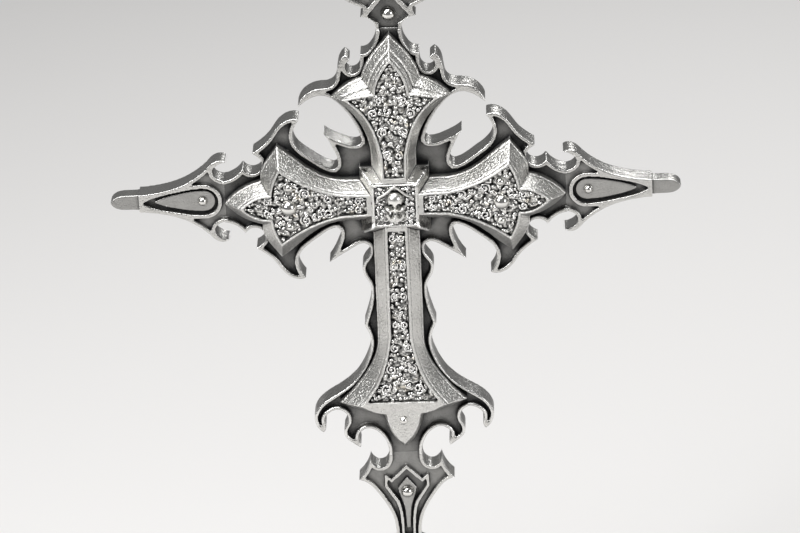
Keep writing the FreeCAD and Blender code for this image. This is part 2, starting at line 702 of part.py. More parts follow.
overlay_ridges = {
    "side": [
        [(block_edge, 6.5), (31, 7.2)],
        [(31, 7.2), (42, 9.8), (52, 13.8), (61, 18.8), (69, 24.5)],
        [(69, 24.5), (71.8, 19.5), (74, 13.5), (75, 8)],
        [(75, 8), (81, 7.6), (87, 5), (93, 0)],
    ],
    "top": [
        [(block_edge, 7), (31, 7.6)],
        [(31, 7.6), (42, 10.2), (52, 14.2), (61, 20.6), (68, 29.5)],
        [(68, 29.5), (69.2, 22), (70, 16), (70.5, 10.5)],
        [(70.5, 10.5), (77, 9.4), (85, 5.6), (92, 0)],
    ],
    "bottom": [
        [(block_edge, 6.5), (86, 6.8)],
        [(86, 6.8), (101, 9.6), (113, 13.6), (123, 19), (131.5, 25.5)],
        [(131.5, 25.5), (134.4, 20), (136.2, 15), (137, 10.5)],
        [(137, 10.5), (144.5, 8.7), (151.5, 5.2), (157, 0)],
    ],
}
inlay_ends = {"side": 92, "top": 92, "bottom": 130.5}
inlay_wall = 0.4                        # thinnest wall between the crossing block and an inlay's seat


def lift(shape, level):
    """Moves a flat shape from Y = 0 to a level in front of the back face."""
    return shape.translated(Vector(0, size.back_face - level, 0))


def bevelled(foot, ridge):
    """A solid from the field level up a straight skirt and a sloping bevel to a flat top."""
    faces = []
    low_foot, high_foot, crest = [
        [lift(curve(stretch), level) for stretch in both_halves(half)]
        for half, level in ((foot, size.field_level), (foot, size.skirt_level), (ridge, size.ridge_level))]
    faces += [Part.makeRuledSurface(low, high) for low, high in zip(low_foot, high_foot)]
    faces += [Part.makeRuledSurface(low, high) for low, high in zip(high_foot, crest)]
    faces += [Part.Face(Part.Wire(low_foot)), Part.Face(Part.Wire(crest))]
    shell = Part.Shell(Part.Compound(faces).Faces)
    shell.sewShape()
    solid = Part.Solid(shell)
    solid.fix(0.001, 0.001, 0.001)
    if solid.Volume < 0:
        solid.reverse()
    return solid


def square(half_width):
    return [[(-half_width, half_width), (half_width, half_width)]]


block_shape = bevelled(square(size.block_base_half), square(size.block_top_half))
block_space = fixed_shape("block_space", block_shape)


def inlay_area(arm, gap):
    """The area inside an overlay's ridge that the filigree fills."""
    ridge = region(arm.fit(overlay_ridges[kind(arm)]))
    slope = (size.block_base_half - size.block_top_half) / (size.ridge_level - size.skirt_level)
    block_reach = size.block_top_half + slope * (size.ridge_level - size.inlay_seat_level)
    limit = rectangle(block_reach + inlay_wall - size.ridge_width, arm.along(inlay_ends[kind(arm)]), 60)
    return inset(ridge.common(limit).Faces[0], size.ridge_width + gap)


def bead_list(arm):
    """Every bead on an overlay: place, radius, and the level that it sits on."""
    if arm in sides:
        beads = [(*large_bead, "sizes.arm_bead_radius", inlay_face)]
        return beads + [(*spot, "sizes.small_bead_radius", inlay_face) for spot in small_beads]
    if arm is bottom:
        return [(*tongue_bead, "sizes.small_bead_radius", ridge_top)]
    return []


def overlay(arm):
    """A bevelled casting of the front layer with its seat for the filigree."""
    body = fixed_shape(arm.name + "_overlay_body",
                       bevelled(arm.fit(overlay_feet[kind(arm)]), arm.fit(overlay_ridges[kind(arm)])))
    seat = slab(arm.name + "_inlay_seat", inlay_area(arm, 0), inlay_seat, f"{ridge_top} + {open_above}")
    tools = [seat, block_space] + screw_cuts(arm, screw_hole_end)
    tools += [stud(f"{arm.name}_bead_hole", arm, along, across,
                   f"{seat_level} - {bead_shank} - {hole_end_gap}", seat_level, shank_hole)
              for along, across, radius, seat_level in bead_list(arm)]
    return node(arm.place(cut(arm.name + "_overlay_cut", body, *tools)), arm.name + "_overlay")


def inlay(arm):
    """The filigree plate in an overlay."""
    plate = slab(arm.name + "_inlay_plate", inlay_area(arm, size.inlay_gap), inlay_seat, inlay_face)
    holes = [stud(f"{arm.name}_inlay_hole", arm, along, across, inlay_seat, inlay_face, shank_hole)
             for along, across, radius, seat_level in bead_list(arm) if seat_level == inlay_face]
    if holes:
        plate = cut(arm.name + "_inlay_cut", plate, *holes)
    else:
        plate = group(arm.name + "_inlay_group", plate)
    return node(arm.place(plate), arm.name + "_inlay")


def set_beads(arm, pick):
    """The beads of an arm that pick chooses, placed."""
    return [arm.place(fuse(f"{arm.name}_bead", *bead(f"{arm.name}_bead", arm, along, across, radius,
                                                     seat_level, f"{seat_level} - {bead_shank}")))
            for along, across, radius, seat_level in bead_list(arm) if pick(radius)]


for arm in arms:
    overlay(arm)
for arm in arms:
    inlay(arm)
node(group("arm_beads_group", *[item for arm in sides
                                for item in set_beads(arm, lambda radius: "arm_bead" in radius)]),
     "arm_beads")
node(group("small_beads_group", *[item for arm in sides
                                  for item in set_beads(arm, lambda radius: "small_bead" in radius)]),
     "small_beads")
node(group("tongue_bead_group", *set_beads(bottom, lambda radius: True)), "tongue_bead")

skull_stud_radius = 2
skull_stud_length = 5
stud_hole = stud("skull_stud_hole", right, 0, -1, f"{ridge_top} - {skull_stud_length} - {hole_end_gap}",
                 ridge_top, f"{skull_stud_radius} + sizes.hole_gap")
block = cut("crossing_block_cut", block_space, centre_screw_cut("block"), stud_hole)
node(right.place(block), "crossing_block")

# ---------------------------------------------------------------- skull boss
# Plain stylised skull on the block's top: brow and cranium, cheekbones, jaw, eye hollows, and the
# pointed hood line over it.


def polygon_area(corners):
    spots = [Vector(x, 0, z) for x, z in corners]
    return Part.Face(Part.makePolygon(spots + spots[:1]))


def lump(name, x, z, half_width, half_height, depth, level):
    """An ellipsoid with its centre at a level, wider or taller across the front."""
    return add("Part::Ellipsoid", name, Radius1=half_height, Radius2=half_width, Radius3=depth,
               Angle1=-90, Angle2=90, Angle3=360, at=(x, f"sizes.back_face - ({level})", z))


skull_solids = [
    lump("cranium", 0, 3.4, 4.8, 5.4, 5, f"{ridge_top} + 0.6"),
    lump("cheek_bones", 0, -2.1, 6, 1.9, 3.6, f"{ridge_top} + 0.6"),
    lump("jaw", 0, -6.4, 3, 4.2, 3.4, f"{ridge_top} + 0.4"),
]
skull_cuts = [lump("eye_hollow", side * 2.4, -0.6, 1.35, 1.4, 2, f"{ridge_top} + 5.4") for side in (1, -1)]
skull_cuts.append(lump("nose_hollow", 0, -3.4, 0.6, 0.9, 1.4, f"{ridge_top} + 4.4"))
below_block_top = slab("below_block_top", rectangle(-12, 12, 14), f"{ridge_top} - 8", ridge_top)
hood = slab("hood_line", polygon_area([(-6.2, 6.6), (0, 12.6), (6.2, 6.6), (6.9, 7.6), (0, 13.9),
                                       (-6.9, 7.6)]), ridge_top, f"{ridge_top} + 2")
skull_face = cut("skull_face", fuse("skull_mass", *skull_solids), *skull_cuts, below_block_top)
skull_stud = stud("skull_stud", right, 0, -1, f"{ridge_top} - {skull_stud_length}", f"{ridge_top} + 0.5",
                  skull_stud_radius)
hood_bridge = slab("hood_bridge", polygon_area([(-1.2, 4), (1.2, 4), (1.2, 12.6), (-1.2, 12.6)]),
                   ridge_top, f"{ridge_top} + 0.8")
node(right.place(fuse("skull_whole", skull_face, skull_stud, hood, hood_bridge)), "skull_boss")

# ---------------------------------------------------------------- foot collar, knop and collar

tang_hole_radius = "sizes.tang_radius + sizes.tang_gap"


def rounded(name, blank, rounding):
    """A turned blank with its round edges softened."""
    item = document.addObject("Part::Fillet", name)
    item.Base = blank
    document.recompute()
    item.Edges = [(number, rounding, rounding) for number, edge in enumerate(blank.Shape.Edges, start=1)
                  if isinstance(edge.Curve, Part.Circle)]
    return item


foot_collar_blank = add("Part::Cylinder", "foot_collar_blank", Radius="sizes.foot_collar_radius",
                        Height="sizes.foot_collar_height", at=(0, 0, knop_top))
foot_collar_rounded = rounded("foot_collar_rounded", foot_collar_blank,
                              min(3, size.foot_collar_height / 3))
foot_collar_bore = add("Part::Cylinder", "foot_collar_bore", Radius=tang_hole_radius,
                       Height="sizes.foot_collar_height + 2", at=(0, 0, f"{knop_top} - 1"))
bar_slot = add("Part::Box", "bar_slot", Length=f"2 * ({lap_half})",
               Width="sizes.core_thickness + 2 * sizes.core_gap", Height="sizes.foot_collar_height",
               at=(f"-({lap_half})", f"{core_back_y} - sizes.core_thickness - sizes.core_gap",
                   f"{bar_foot} - sizes.core_gap"))
node(cut("foot_collar_cut", foot_collar_rounded, foot_collar_bore, bar_slot), "foot_collar")


def knop_ellipsoid(name, smaller):
    return add("Part::Ellipsoid", name, Radius1=f"sizes.knop_half_height + 2 - ({smaller})",
               Radius2=f"sizes.knop_radius - ({smaller})", Radius3=f"sizes.knop_radius - ({smaller})",
               Angle1=-90, Angle2=90, Angle3=360, at=(0, 0, knop_middle))


def knop_shell(label, low):
    """One hollow half of the knop."""
    outer = knop_ellipsoid(label + "_outer", "0")
    hollow = knop_ellipsoid(label + "_hollow", "sizes.knop_wall + 1")
    hole = add("Part::Cylinder", label + "_hole", Radius=tang_hole_radius,
               Height="3 * sizes.knop_half_height", at=(0, 0, f"{knop_foot} - 5"))
    half_space = add("Part::Cylinder", label + "_half", Radius="2 * sizes.knop_radius",
                     Height="sizes.knop_half_height", at=(0, 0, low))
    shell = cut(label + "_shell", outer, hollow, hole)
    return node(common(label + "_common", shell, half_space), label)


knop_shell("knop_lower", knop_foot)
knop_shell("knop_upper", knop_middle)

band_low = f"{knop_middle} - sizes.band_width / 2"
band_outer = add("Part::Cylinder", "band_outer", Radius="sizes.knop_radius + sizes.band_thickness",
                 Height="sizes.band_width", at=(0, 0, band_low))
knop_solid = knop_ellipsoid("knop_solid", "-0.02")
node(cut("knop_band_cut", band_outer, knop_solid), "knop_band")

boss_count = 6
bosses = []
for number in range(boss_count):
    boss = add("Part::Cone", "boss", turn=along_x, Radius1="sizes.boss_radius",
               Radius2="0.62 * sizes.boss_radius",
               Height="sizes.knop_radius / 3 + sizes.band_thickness + sizes.boss_proud",
               at=("2 * sizes.knop_radius / 3", 0, 0))
    trimmed = group("boss_turned", boss)
    trimmed.Placement = FreeCAD.Placement(Vector(), FreeCAD.Rotation(Vector(0, 0, 1),
                                                                     (number + 0.5) * 360 / boss_count))
    trimmed.setExpression("Placement.Base.z", knop_middle)
    bosses.append(cut("boss_cut", trimmed, knop_solid, band_outer))
node(group("bosses_group", *bosses), "knop_bosses")

socket_radius = "sizes.staff_diameter / 2 + sizes.staff_clearance"
socket_outer_radius = socket_radius + " + sizes.socket_wall"
collar_overhang = 1.6                   # how far the lower collar stands out past the socket
collar_blank = add("Part::Cylinder", "lower_collar_blank",
                   Radius=f"{socket_outer_radius} + {collar_overhang}",
                   Height="sizes.collar_height", at=(0, 0, socket_top))
collar_rounded = rounded("lower_collar_rounded", collar_blank, min(2.4, size.collar_height / 3))
collar_bore = add("Part::Cylinder", "lower_collar_bore", Radius=tang_hole_radius,
                  Height="sizes.collar_height + 2", at=(0, 0, f"{socket_top} - 1"))
node(cut("lower_collar_cut", collar_rounded, collar_bore), "lower_collar")

# ---------------------------------------------------------------- staff socket and its clamp

pad_gap = 0.2                           # between the pad and its seat
thread_start = f"{socket_radius} + sizes.pad_thickness + 2 * {pad_gap} + 0.4"
socket_tube = add("Part::Cylinder", "socket_tube", Radius=socket_outer_radius, Height=socket_top)
socket_bore = add("Part::Cylinder", "socket_bore", Radius=socket_radius,
                  Height=f"sizes.socket_depth + {open_above}", at=(0, 0, -open_above))
tang_bore = add("Part::Cylinder", "tang_bore", Radius=tang_hole_radius, Height="sizes.socket_head",
                at=(0, 0, f"{tang_low} - 0.2"))
along_back = (Vector(1, 0, 0), -90)     # turns a cylinder's axis from +Z to +Y
pad_seat = add("Part::Cylinder", "pad_seat", turn=along_back, Radius=f"sizes.pad_radius + {pad_gap}",
               Height=thread_start, at=(0, 0, "sizes.clamp_height"))
node(cut("staff_socket_cut", socket_tube, socket_bore, tang_bore, pad_seat, pin_hole), "staff_socket")

pin = add("Part::Cylinder", "tang_pin_body", turn=along_x, Radius=pin_radius,
          Height=f"2 * ({socket_outer_radius}) + 0.6",
          at=(f"-({socket_outer_radius}) - 0.3", 0, pin_height))
node(pin, "tang_pin")

mouth_blank = add("Part::Cylinder", "mouth_ring_blank",
                  Radius=f"{socket_outer_radius} + sizes.mouth_ring_wall",
                  Height="sizes.mouth_ring_height")
mouth_bore = add("Part::Cylinder", "mouth_ring_bore", Radius=f"{socket_outer_radius} + 0.02",
                 Height="sizes.mouth_ring_height + 2", at=(0, 0, -1))
mouth_rounded = rounded("mouth_ring_rounded", mouth_blank,
                        min(2.2, size.mouth_ring_height / 3, size.mouth_ring_wall * 0.8))
node(cut("mouth_ring_cut", mouth_rounded, mouth_bore), "mouth_ring")

boss_length = f"{socket_outer_radius} + sizes.clamp_boss_length"
clamp_boss = add("Part::Cylinder", "clamp_boss_blank", turn=along_back, Radius="sizes.clamp_boss_radius",
                 Height=boss_length, at=(0, 0, "sizes.clamp_height"))
socket_solid = add("Part::Cylinder", "socket_solid", Radius=f"{socket_outer_radius} + 0.02",
                   Height=socket_top)
thread_hole = add("Part::Cylinder", "thread_hole", turn=along_back,
                  Radius="sizes.clamp_screw_radius + sizes.clamp_screw_gap",
                  Height=f"{boss_length} + 2", at=(0, 0, "sizes.clamp_height"))
node(cut("clamp_boss_cut", clamp_boss, socket_solid, pad_seat, thread_hole), "clamp_boss")

pad_face = f"{socket_radius} + {pad_gap}"
tip_radius = 1.8
tip_depth = 1.4
pad_blank = add("Part::Cylinder", "pad_blank", turn=along_back, Radius="sizes.pad_radius",
                Height="sizes.pad_thickness", at=(0, pad_face, "sizes.clamp_height"))
tip_socket = add("Part::Cylinder", "tip_socket", turn=along_back,
                 Radius=f"{tip_radius} + sizes.clamp_screw_gap", Height=tip_depth + 1,
                 at=(0, f"{pad_face} + sizes.pad_thickness - {tip_depth} - 0.1", "sizes.clamp_height"))
node(cut("clamp_pad_cut", pad_blank, tip_socket), "clamp_pad")

screw_start = f"{pad_face} + sizes.pad_thickness + {pad_gap}"
head_clearance = "sizes.pad_travel + 2"
screw_tip = add("Part::Cylinder", "screw_tip", turn=along_back, Radius=tip_radius,
                Height=f"{tip_depth} + {pad_gap} + 0.5",
                at=(0, f"{screw_start} - {tip_depth} - {pad_gap}", "sizes.clamp_height"))
clamp_shank = add("Part::Cylinder", "clamp_shank", turn=along_back, Radius="sizes.clamp_screw_radius",
                  Height=f"{boss_length} + {head_clearance} + 1 - ({screw_start})",
                  at=(0, screw_start, "sizes.clamp_height"))
head_start = f"{boss_length} + {head_clearance}"
screw_collar = add("Part::Cylinder", "screw_collar", turn=along_back, Radius=5.2, Height=3,
                   at=(0, head_start, "sizes.clamp_height"))
wing_radius = 6
wing_offset = 5                         # of a wing's middle from the screw's axis
wing_thickness = 3.2
wings = [add("Part::Cylinder", "wing", turn=along_x, Radius=wing_radius, Height=wing_thickness,
             at=(-wing_thickness / 2, f"{head_start} + 2 + {wing_radius}",
                 f"sizes.clamp_height + {side * wing_offset}")) for side in (1, -1)]
node(fuse("thumbscrew_whole", screw_tip, clamp_shank, screw_collar, *wings), "thumbscrew")

# ---------------------------------------------------------------- checks and files

document.recompute()
faults = [item.Label for item in document.Objects if {"Invalid", "Error"} & set(item.State)]
if faults:
    raise RuntimeError("failed objects: " + ", ".join(faults))
for item in nodes:
    if item.Shape.isNull() or not item.Shape.isValid() or not item.Shape.Solids:
        raise RuntimeError(item.Label + " has no valid solid")

os.makedirs("parts", exist_ok=True)
for item in nodes:
    item.Shape.exportStep(os.path.join("parts", item.Label + ".step"))
    print(item.Label, len(item.Shape.Solids), round(item.Shape.Volume))
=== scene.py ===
import bpy
import math
import random
from mathutils import Matrix, Vector, noise
from mathutils.bvhtree import BVHTree


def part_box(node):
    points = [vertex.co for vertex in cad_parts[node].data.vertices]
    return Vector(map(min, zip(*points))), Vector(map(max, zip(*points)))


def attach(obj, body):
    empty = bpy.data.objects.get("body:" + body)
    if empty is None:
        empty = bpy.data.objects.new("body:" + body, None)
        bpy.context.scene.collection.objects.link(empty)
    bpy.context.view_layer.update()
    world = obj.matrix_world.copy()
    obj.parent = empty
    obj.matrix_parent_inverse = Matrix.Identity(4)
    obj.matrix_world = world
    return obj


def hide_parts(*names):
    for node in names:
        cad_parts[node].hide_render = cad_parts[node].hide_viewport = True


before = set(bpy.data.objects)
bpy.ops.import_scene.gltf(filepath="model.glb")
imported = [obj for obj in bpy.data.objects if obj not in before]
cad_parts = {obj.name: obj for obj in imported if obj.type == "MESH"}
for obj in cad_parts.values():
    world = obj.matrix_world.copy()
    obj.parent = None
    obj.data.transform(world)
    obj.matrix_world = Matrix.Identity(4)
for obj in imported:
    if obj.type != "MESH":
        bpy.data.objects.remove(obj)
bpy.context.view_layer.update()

mm = 0.001

# the arms run out from the crossing's middle, and levels are measured forward from the back face
castingLow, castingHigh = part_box("crossing_casting")
backFace = castingHigh.y
crossHeight = (castingLow.z + castingHigh.z) / 2
armTurns = {"right": 0, "left": 180, "top": 90, "bottom": -90}      # degrees, seen from the front
random.seed(7)


def spot(arm, along, across, level):
    # a place on an arm, in millimetres along it, across it and forward
    turn = math.radians(armTurns[arm])
    side = along * math.cos(turn) - across * math.sin(turn)
    rise = along * math.sin(turn) + across * math.cos(turn)
    return Vector((side * mm, backFace - level * mm, crossHeight + rise * mm))


# tools for the bench

def only(piece):
    bpy.ops.object.select_all(action="DESELECT")
    piece.select_set(True)
    bpy.context.view_layer.objects.active = piece


def finishWith(piece, kind, **settings):
    # adds a modifier and applies it at once
    only(piece)
    modifier = piece.modifiers.new(kind.lower(), kind)
    for key, value in settings.items():
        setattr(modifier, key, value)
    bpy.ops.object.modifier_apply(modifier=modifier.name)


def copyOf(name, *nodes):
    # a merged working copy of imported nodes
    bpy.ops.object.select_all(action="DESELECT")
    for node in nodes:
        piece = bpy.data.objects.new(name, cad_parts[node].data.copy())
        bpy.context.collection.objects.link(piece)
        piece.data.materials.clear()
        piece.select_set(True)
    bpy.context.view_layer.objects.active = piece
    if len(nodes) > 1:
        bpy.ops.object.join()
    bpy.ops.object.mode_set(mode="EDIT")
    bpy.ops.mesh.select_all(action="SELECT")
    bpy.ops.mesh.remove_doubles(threshold=0.001 * mm)
    bpy.ops.object.mode_set(mode="OBJECT")
    return bpy.context.object


def joined(name, pieces):
    bpy.ops.object.select_all(action="DESELECT")
    for piece in pieces:
        piece.select_set(True)
    bpy.context.view_layer.objects.active = pieces[0]
    if len(pieces) > 1:
        bpy.ops.object.join()
    pieces[0].name = name
    return pieces[0]


def settle(piece):
    # puts the object's place and turn into its mesh
    only(piece)
    bpy.ops.object.transform_apply(location=True, rotation=True, scale=True)
    return piece


def smooth(piece, degrees=40):
    only(piece)
    bpy.ops.object.shade_smooth_by_angle(angle=math.radians(degrees), keep_sharp_edges=False)


def clouds(name, size, kind="CLOUDS"):
    pattern = bpy.data.textures.new(name, kind)
    pattern.noise_scale = size
    return pattern


def wire(name, points, thickness, sides=2, closed=False):
    # a drawn wire through points, round in section
    bpy.ops.object.select_all(action="DESELECT")
    bpy.ops.curve.primitive_nurbs_path_add()
    drawn = bpy.context.object
    drawn.name = name
    line = drawn.data
    line.splines.clear()
    run = line.splines.new("NURBS")
    run.points.add(len(points) - 1)
    for knot, point in zip(run.points, points):
        knot.co = (*point, 1)
    run.use_cyclic_u = closed
    run.order_u = 3
    run.use_endpoint_u = not closed
    run.resolution_u = 3
    line.bevel_depth = thickness / 2
    line.bevel_resolution = sides
    line.use_fill_caps = True
    line.resolution_u = 3
    drawn.location = (0, 0, 0)
    only(drawn)
    bpy.ops.object.convert(target="MESH")
    return settle(bpy.context.object)


def place(piece, body, slotName, finish, *nodes):
    # gives a finished piece its body and finish, and hides the nodes that it stands for
    piece.data.materials.clear()
    piece.data.materials.append(finish)
    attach(piece, body)
    if nodes:
        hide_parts(*nodes)
    return piece


# finishes

class Value:
    # something that varies over a surface, with arithmetic
    def __init__(self, surface, socket):
        self.surface, self.socket = surface, socket

    def math(self, operation, other, swapped=False):
        pair = (other, self) if swapped else (self, other)
        return self.surface.add("ShaderNodeMath", {"operation": operation}, {0: pair[0], 1: pair[1]})

    def __add__(self, other):
        return self.math("ADD", other)

    def __radd__(self, other):
        return self.math("ADD", other)

    def __sub__(self, other):
        return self.math("SUBTRACT", other)

    def __rsub__(self, other):
        return self.math("SUBTRACT", other, swapped=True)

    def __mul__(self, other):
        return self.math("MULTIPLY", other)

    def __rmul__(self, other):
        return self.math("MULTIPLY", other)

    def most(self, other):
        return self.math("MAXIMUM", other)


class Surface:
    # a material under construction
    def __init__(self, name):
        self.material = bpy.data.materials.new(name)
        self.material.use_nodes = True
        self.tree = self.material.node_tree
        self.shader = self.tree.nodes["Principled BSDF"]

    def add(self, kind, settings=None, sockets=None, output=0):
        node = self.tree.nodes.new(kind)
        for key, value in (settings or {}).items():
            setattr(node, key, value)
        for key, value in (sockets or {}).items():
            if isinstance(value, Value):
                self.tree.links.new(value.socket, node.inputs[key])
            else:
                node.inputs[key].default_value = value
        return Value(self, node.outputs[output])

    def between(self, value, low, high, start=0.0, end=1.0, kind="SMOOTHSTEP"):
        # maps low..high to start..end, easing at both ends
        return self.add("ShaderNodeMapRange", {"interpolation_type": kind},
                        {"Value": value, "From Min": low, "From Max": high, "To Min": start,
                         "To Max": end})

    def grain(self, place, size, detail=3.0, roughness=0.55, output="Fac"):
        return self.add("ShaderNodeTexNoise", {}, {"Vector": place, "Scale": 1 / size, "Detail": detail,
                                                   "Roughness": roughness}, output)

    def blend(self, factor, first, second):
        # first colour where the factor is 0 and second where it is 1
        node = self.tree.nodes.new("ShaderNodeMix")
        node.data_type = "RGBA"
        for key, value in ((0, factor), (6, first), (7, second)):
            if isinstance(value, Value):
                self.tree.links.new(value.socket, node.inputs[key])
            else:
                node.inputs[key].default_value = value
        return Value(self, node.outputs[2])

    def set(self, **sockets):
        for key, value in sockets.items():
            key = key.replace("_", " ")
            if isinstance(value, Value):
                self.tree.links.new(value.socket, self.shader.inputs[key])
            else:
                self.shader.inputs[key].default_value = value


def tone(amount, warmth=0.02):
    # a grey with a little warmth
    return (amount, amount * (1 - 0.6 * warmth), amount * (1 - 2.4 * warmth), 1)


def antiqueSilver(name, look):
    # silver that is dark in its hollows and bright from rubbing on its high places, with painted light
    # on faces turned up and painted shade on faces turned down
    surface = Surface(name)
    here = surface.add("ShaderNodeTexCoord", {}, {}, "Object")
    depth = surface.add("ShaderNodeSeparateXYZ", {}, {"Vector": here}, "Y")
    low, high = [backFace - level * mm for level in look["levels"]]
    broad = surface.grain(here, look["patch"] * mm, 4)
    fine = surface.grain(here, look["grain"] * mm, 5, 0.65)
    wobble = (fine - 0.5) * (look["ragged"] * mm)
    height = surface.between(depth + wobble, low, high, look["floorShare"], 1.0)
    edges = surface.add("ShaderNodeNewGeometry", {}, {}, "Pointiness")
    worn = surface.between(edges, 0.5 + look["wearFrom"], 0.5 + look["wearTo"])
    crease = surface.between(edges, 0.5 - look["creaseTo"], 0.5 - look["creaseFrom"])
    shade = surface.add("ShaderNodeAmbientOcclusion", {"samples": 6},
                        {"Distance": look["shadeReach"] * mm}, "AO")
    openness = surface.between(shade, look["shadeLow"], look["shadeHigh"])
    facing = surface.add("ShaderNodeNewGeometry", {}, {}, "Normal")
    upward = surface.add("ShaderNodeSeparateXYZ", {}, {"Vector": facing}, "Z")
    paintedUndersideShade = surface.between(upward, -0.75, 0.1, look["undersideShadeFactor"], 1.0)     # painted shade: faces turned down are darkened
    # painted light: faces turned up are brightened
    paintedTopLit = surface.between(upward, 0.35, 0.85, 0.0, look["paintedTopLight"])
    # the bright share: high places bright from rubbing, plus the painted top light and the painted
    # shade on faces turned down
    brightShare = height.most(paintedTopLit) * openness * crease * paintedUndersideShade
    brightShare = surface.between(brightShare + (broad - 0.5) * look["patches"], 0.05, 0.95, kind="LINEAR")
    # edges bright from polish, kept dark on faces turned down by the same painted shade
    polishedEdgesPaintedShade = worn * surface.between(openness, 0.2, 0.8) * paintedUndersideShade
    base = surface.blend(brightShare, look["deep"], look["body"])
    base = surface.blend(polishedEdgesPaintedShade, base, look["bright"])
    specks = surface.between(fine, 0.30, 0.42)
    base = surface.blend((1 - specks) * look["speckle"], base, look["deep"])
    if look["gold"]:
        gilt = surface.between(surface.grain(here, 7 * mm, 2), 0.58, 0.72) * brightShare * look["gold"]
        base = surface.blend(gilt, base, (0.95, 0.80, 0.52, 1))
    scratches = surface.add("ShaderNodeMapping", {}, {"Vector": here, "Scale": (1, 1, 0.12)})
    scratchLines = surface.grain(scratches, 0.35 * mm, 2)
    roughness = surface.between(brightShare.most(polishedEdgesPaintedShade), 0, 1, look["roughDeep"], look["roughBright"])
    roughness = roughness + (scratchLines - 0.5) * 0.16 + (broad - 0.5) * 0.12
    pits = surface.add("ShaderNodeTexVoronoi", {"feature": "SMOOTH_F1"},
                       {"Vector": here, "Scale": 1 / (look["pit"] * mm), "Smoothness": 0.4})
    relief = fine * 0.6 + surface.between(pits, 0.0, 0.5) * look["pitting"] + scratchLines * 0.12
    normal = surface.add("ShaderNodeBump", {}, {"Height": relief, "Strength": look["bump"],
                                                "Distance": look["bumpDepth"] * mm})
    surface.set(Base_Color=base, Roughness=roughness, Normal=normal,
                Metallic=surface.between(brightShare, 0, 0.5, look["metalDeep"], 1.0))
    surface.shader.inputs["Specular IOR Level"].default_value = 0.5
    return surface.material


silverLook = {
    "levels": (12.6, 15.8), "ragged": 1.2, "patch": 9, "patches": 0.25, "grain": 0.8,
    "wearFrom": 0.015, "wearTo": 0.07, "creaseFrom": 0.005, "creaseTo": 0.06,
    "shadeReach": 5, "shadeLow": 0.25, "shadeHigh": 0.8, "floorShare": 0.0, "undersideShadeFactor": 0.35,
    "paintedTopLight": 0.0,
    "deep": tone(0.018, -0.04), "body": tone(0.40), "bright": tone(0.96, 0.01),
    "speckle": 0.25, "gold": 0, "roughDeep": 0.55, "roughBright": 0.24, "pit": 1.1,
    "pitting": 0.5, "bump": 0.5, "bumpDepth": 0.25, "metalDeep": 0.55,
}
finishes = {
    "casting": {"body": tone(0.66), "levels": (12.9, 15.9), "floorShare": 0.42, "patches": 0.3,
                "shadeReach": 6, "shadeLow": 0.35, "shadeHigh": 0.95, "paintedTopLight": 1.0, "bump": 0.7,
                "speckle": 0.4},
    "terminal": {"body": tone(0.68), "levels": (11.4, 15.0), "floorShare": 0.34, "shadeReach": 3.5,
                 "shadeLow": 0.3, "shadeHigh": 0.9, "paintedTopLight": 1.0, "bump": 0.6},
    "overlay": {"levels": (13, 20), "body": tone(0.78), "patches": 0.3, "speckle": 0.5,
                "roughBright": 0.32, "pitting": 1.0, "bump": 1.0, "shadeReach": 3, "undersideShadeFactor": 0.3},
    "filigree": {"levels": (27.2, 29.0), "body": tone(0.86), "speckle": 0.2, "gold": 0.4,
                 "roughBright": 0.16, "ragged": 0.5, "shadeReach": 2.0, "grain": 0.5, "shadeLow": 0.4,
                 "shadeHigh": 0.85, "deep": tone(0.010, -0.03), "bump": 0.35},
    "block": {"levels": (17, 22), "body": tone(0.82), "roughBright": 0.16, "shadeReach": 2.5},
    "blockGround": {"levels": (30.1, 31.5), "body": tone(0.86), "roughBright": 0.16, "shadeReach": 1.8,
                    "ragged": 0.4, "grain": 0.5, "shadeLow": 0.4, "shadeHigh": 0.9},
    "skull": {"levels": (31.3, 32.3), "body": tone(0.92), "roughBright": 0.3, "speckle": 0.05,
              "shadeReach": 2.2, "grain": 0.4, "pitting": 0.1, "bump": 0.12, "ragged": 0.1,
              "shadeLow": 0.32, "shadeHigh": 0.62, "creaseFrom": 0.02, "creaseTo": 0.12,
              "undersideShadeFactor": 0.85, "patches": 0.1, "metalDeep": 0.3},
    "bead": {"levels": (10, 12), "body": tone(0.90), "speckle": 0.05, "roughBright": 0.1,
             "pitting": 0.1, "bump": 0.2, "shadeReach": 1.4, "patches": 0.1},
    "rear": {"levels": (12, 1), "body": tone(0.55), "deep": tone(0.10), "patches": 0.4,
             "undersideShadeFactor": 0.8, "roughBright": 0.44, "wearFrom": 0.3, "wearTo": 0.45},
}
silver = {name: antiqueSilver("silver_" + name, {**silverLook, **changes})
          for name, changes in finishes.items()}


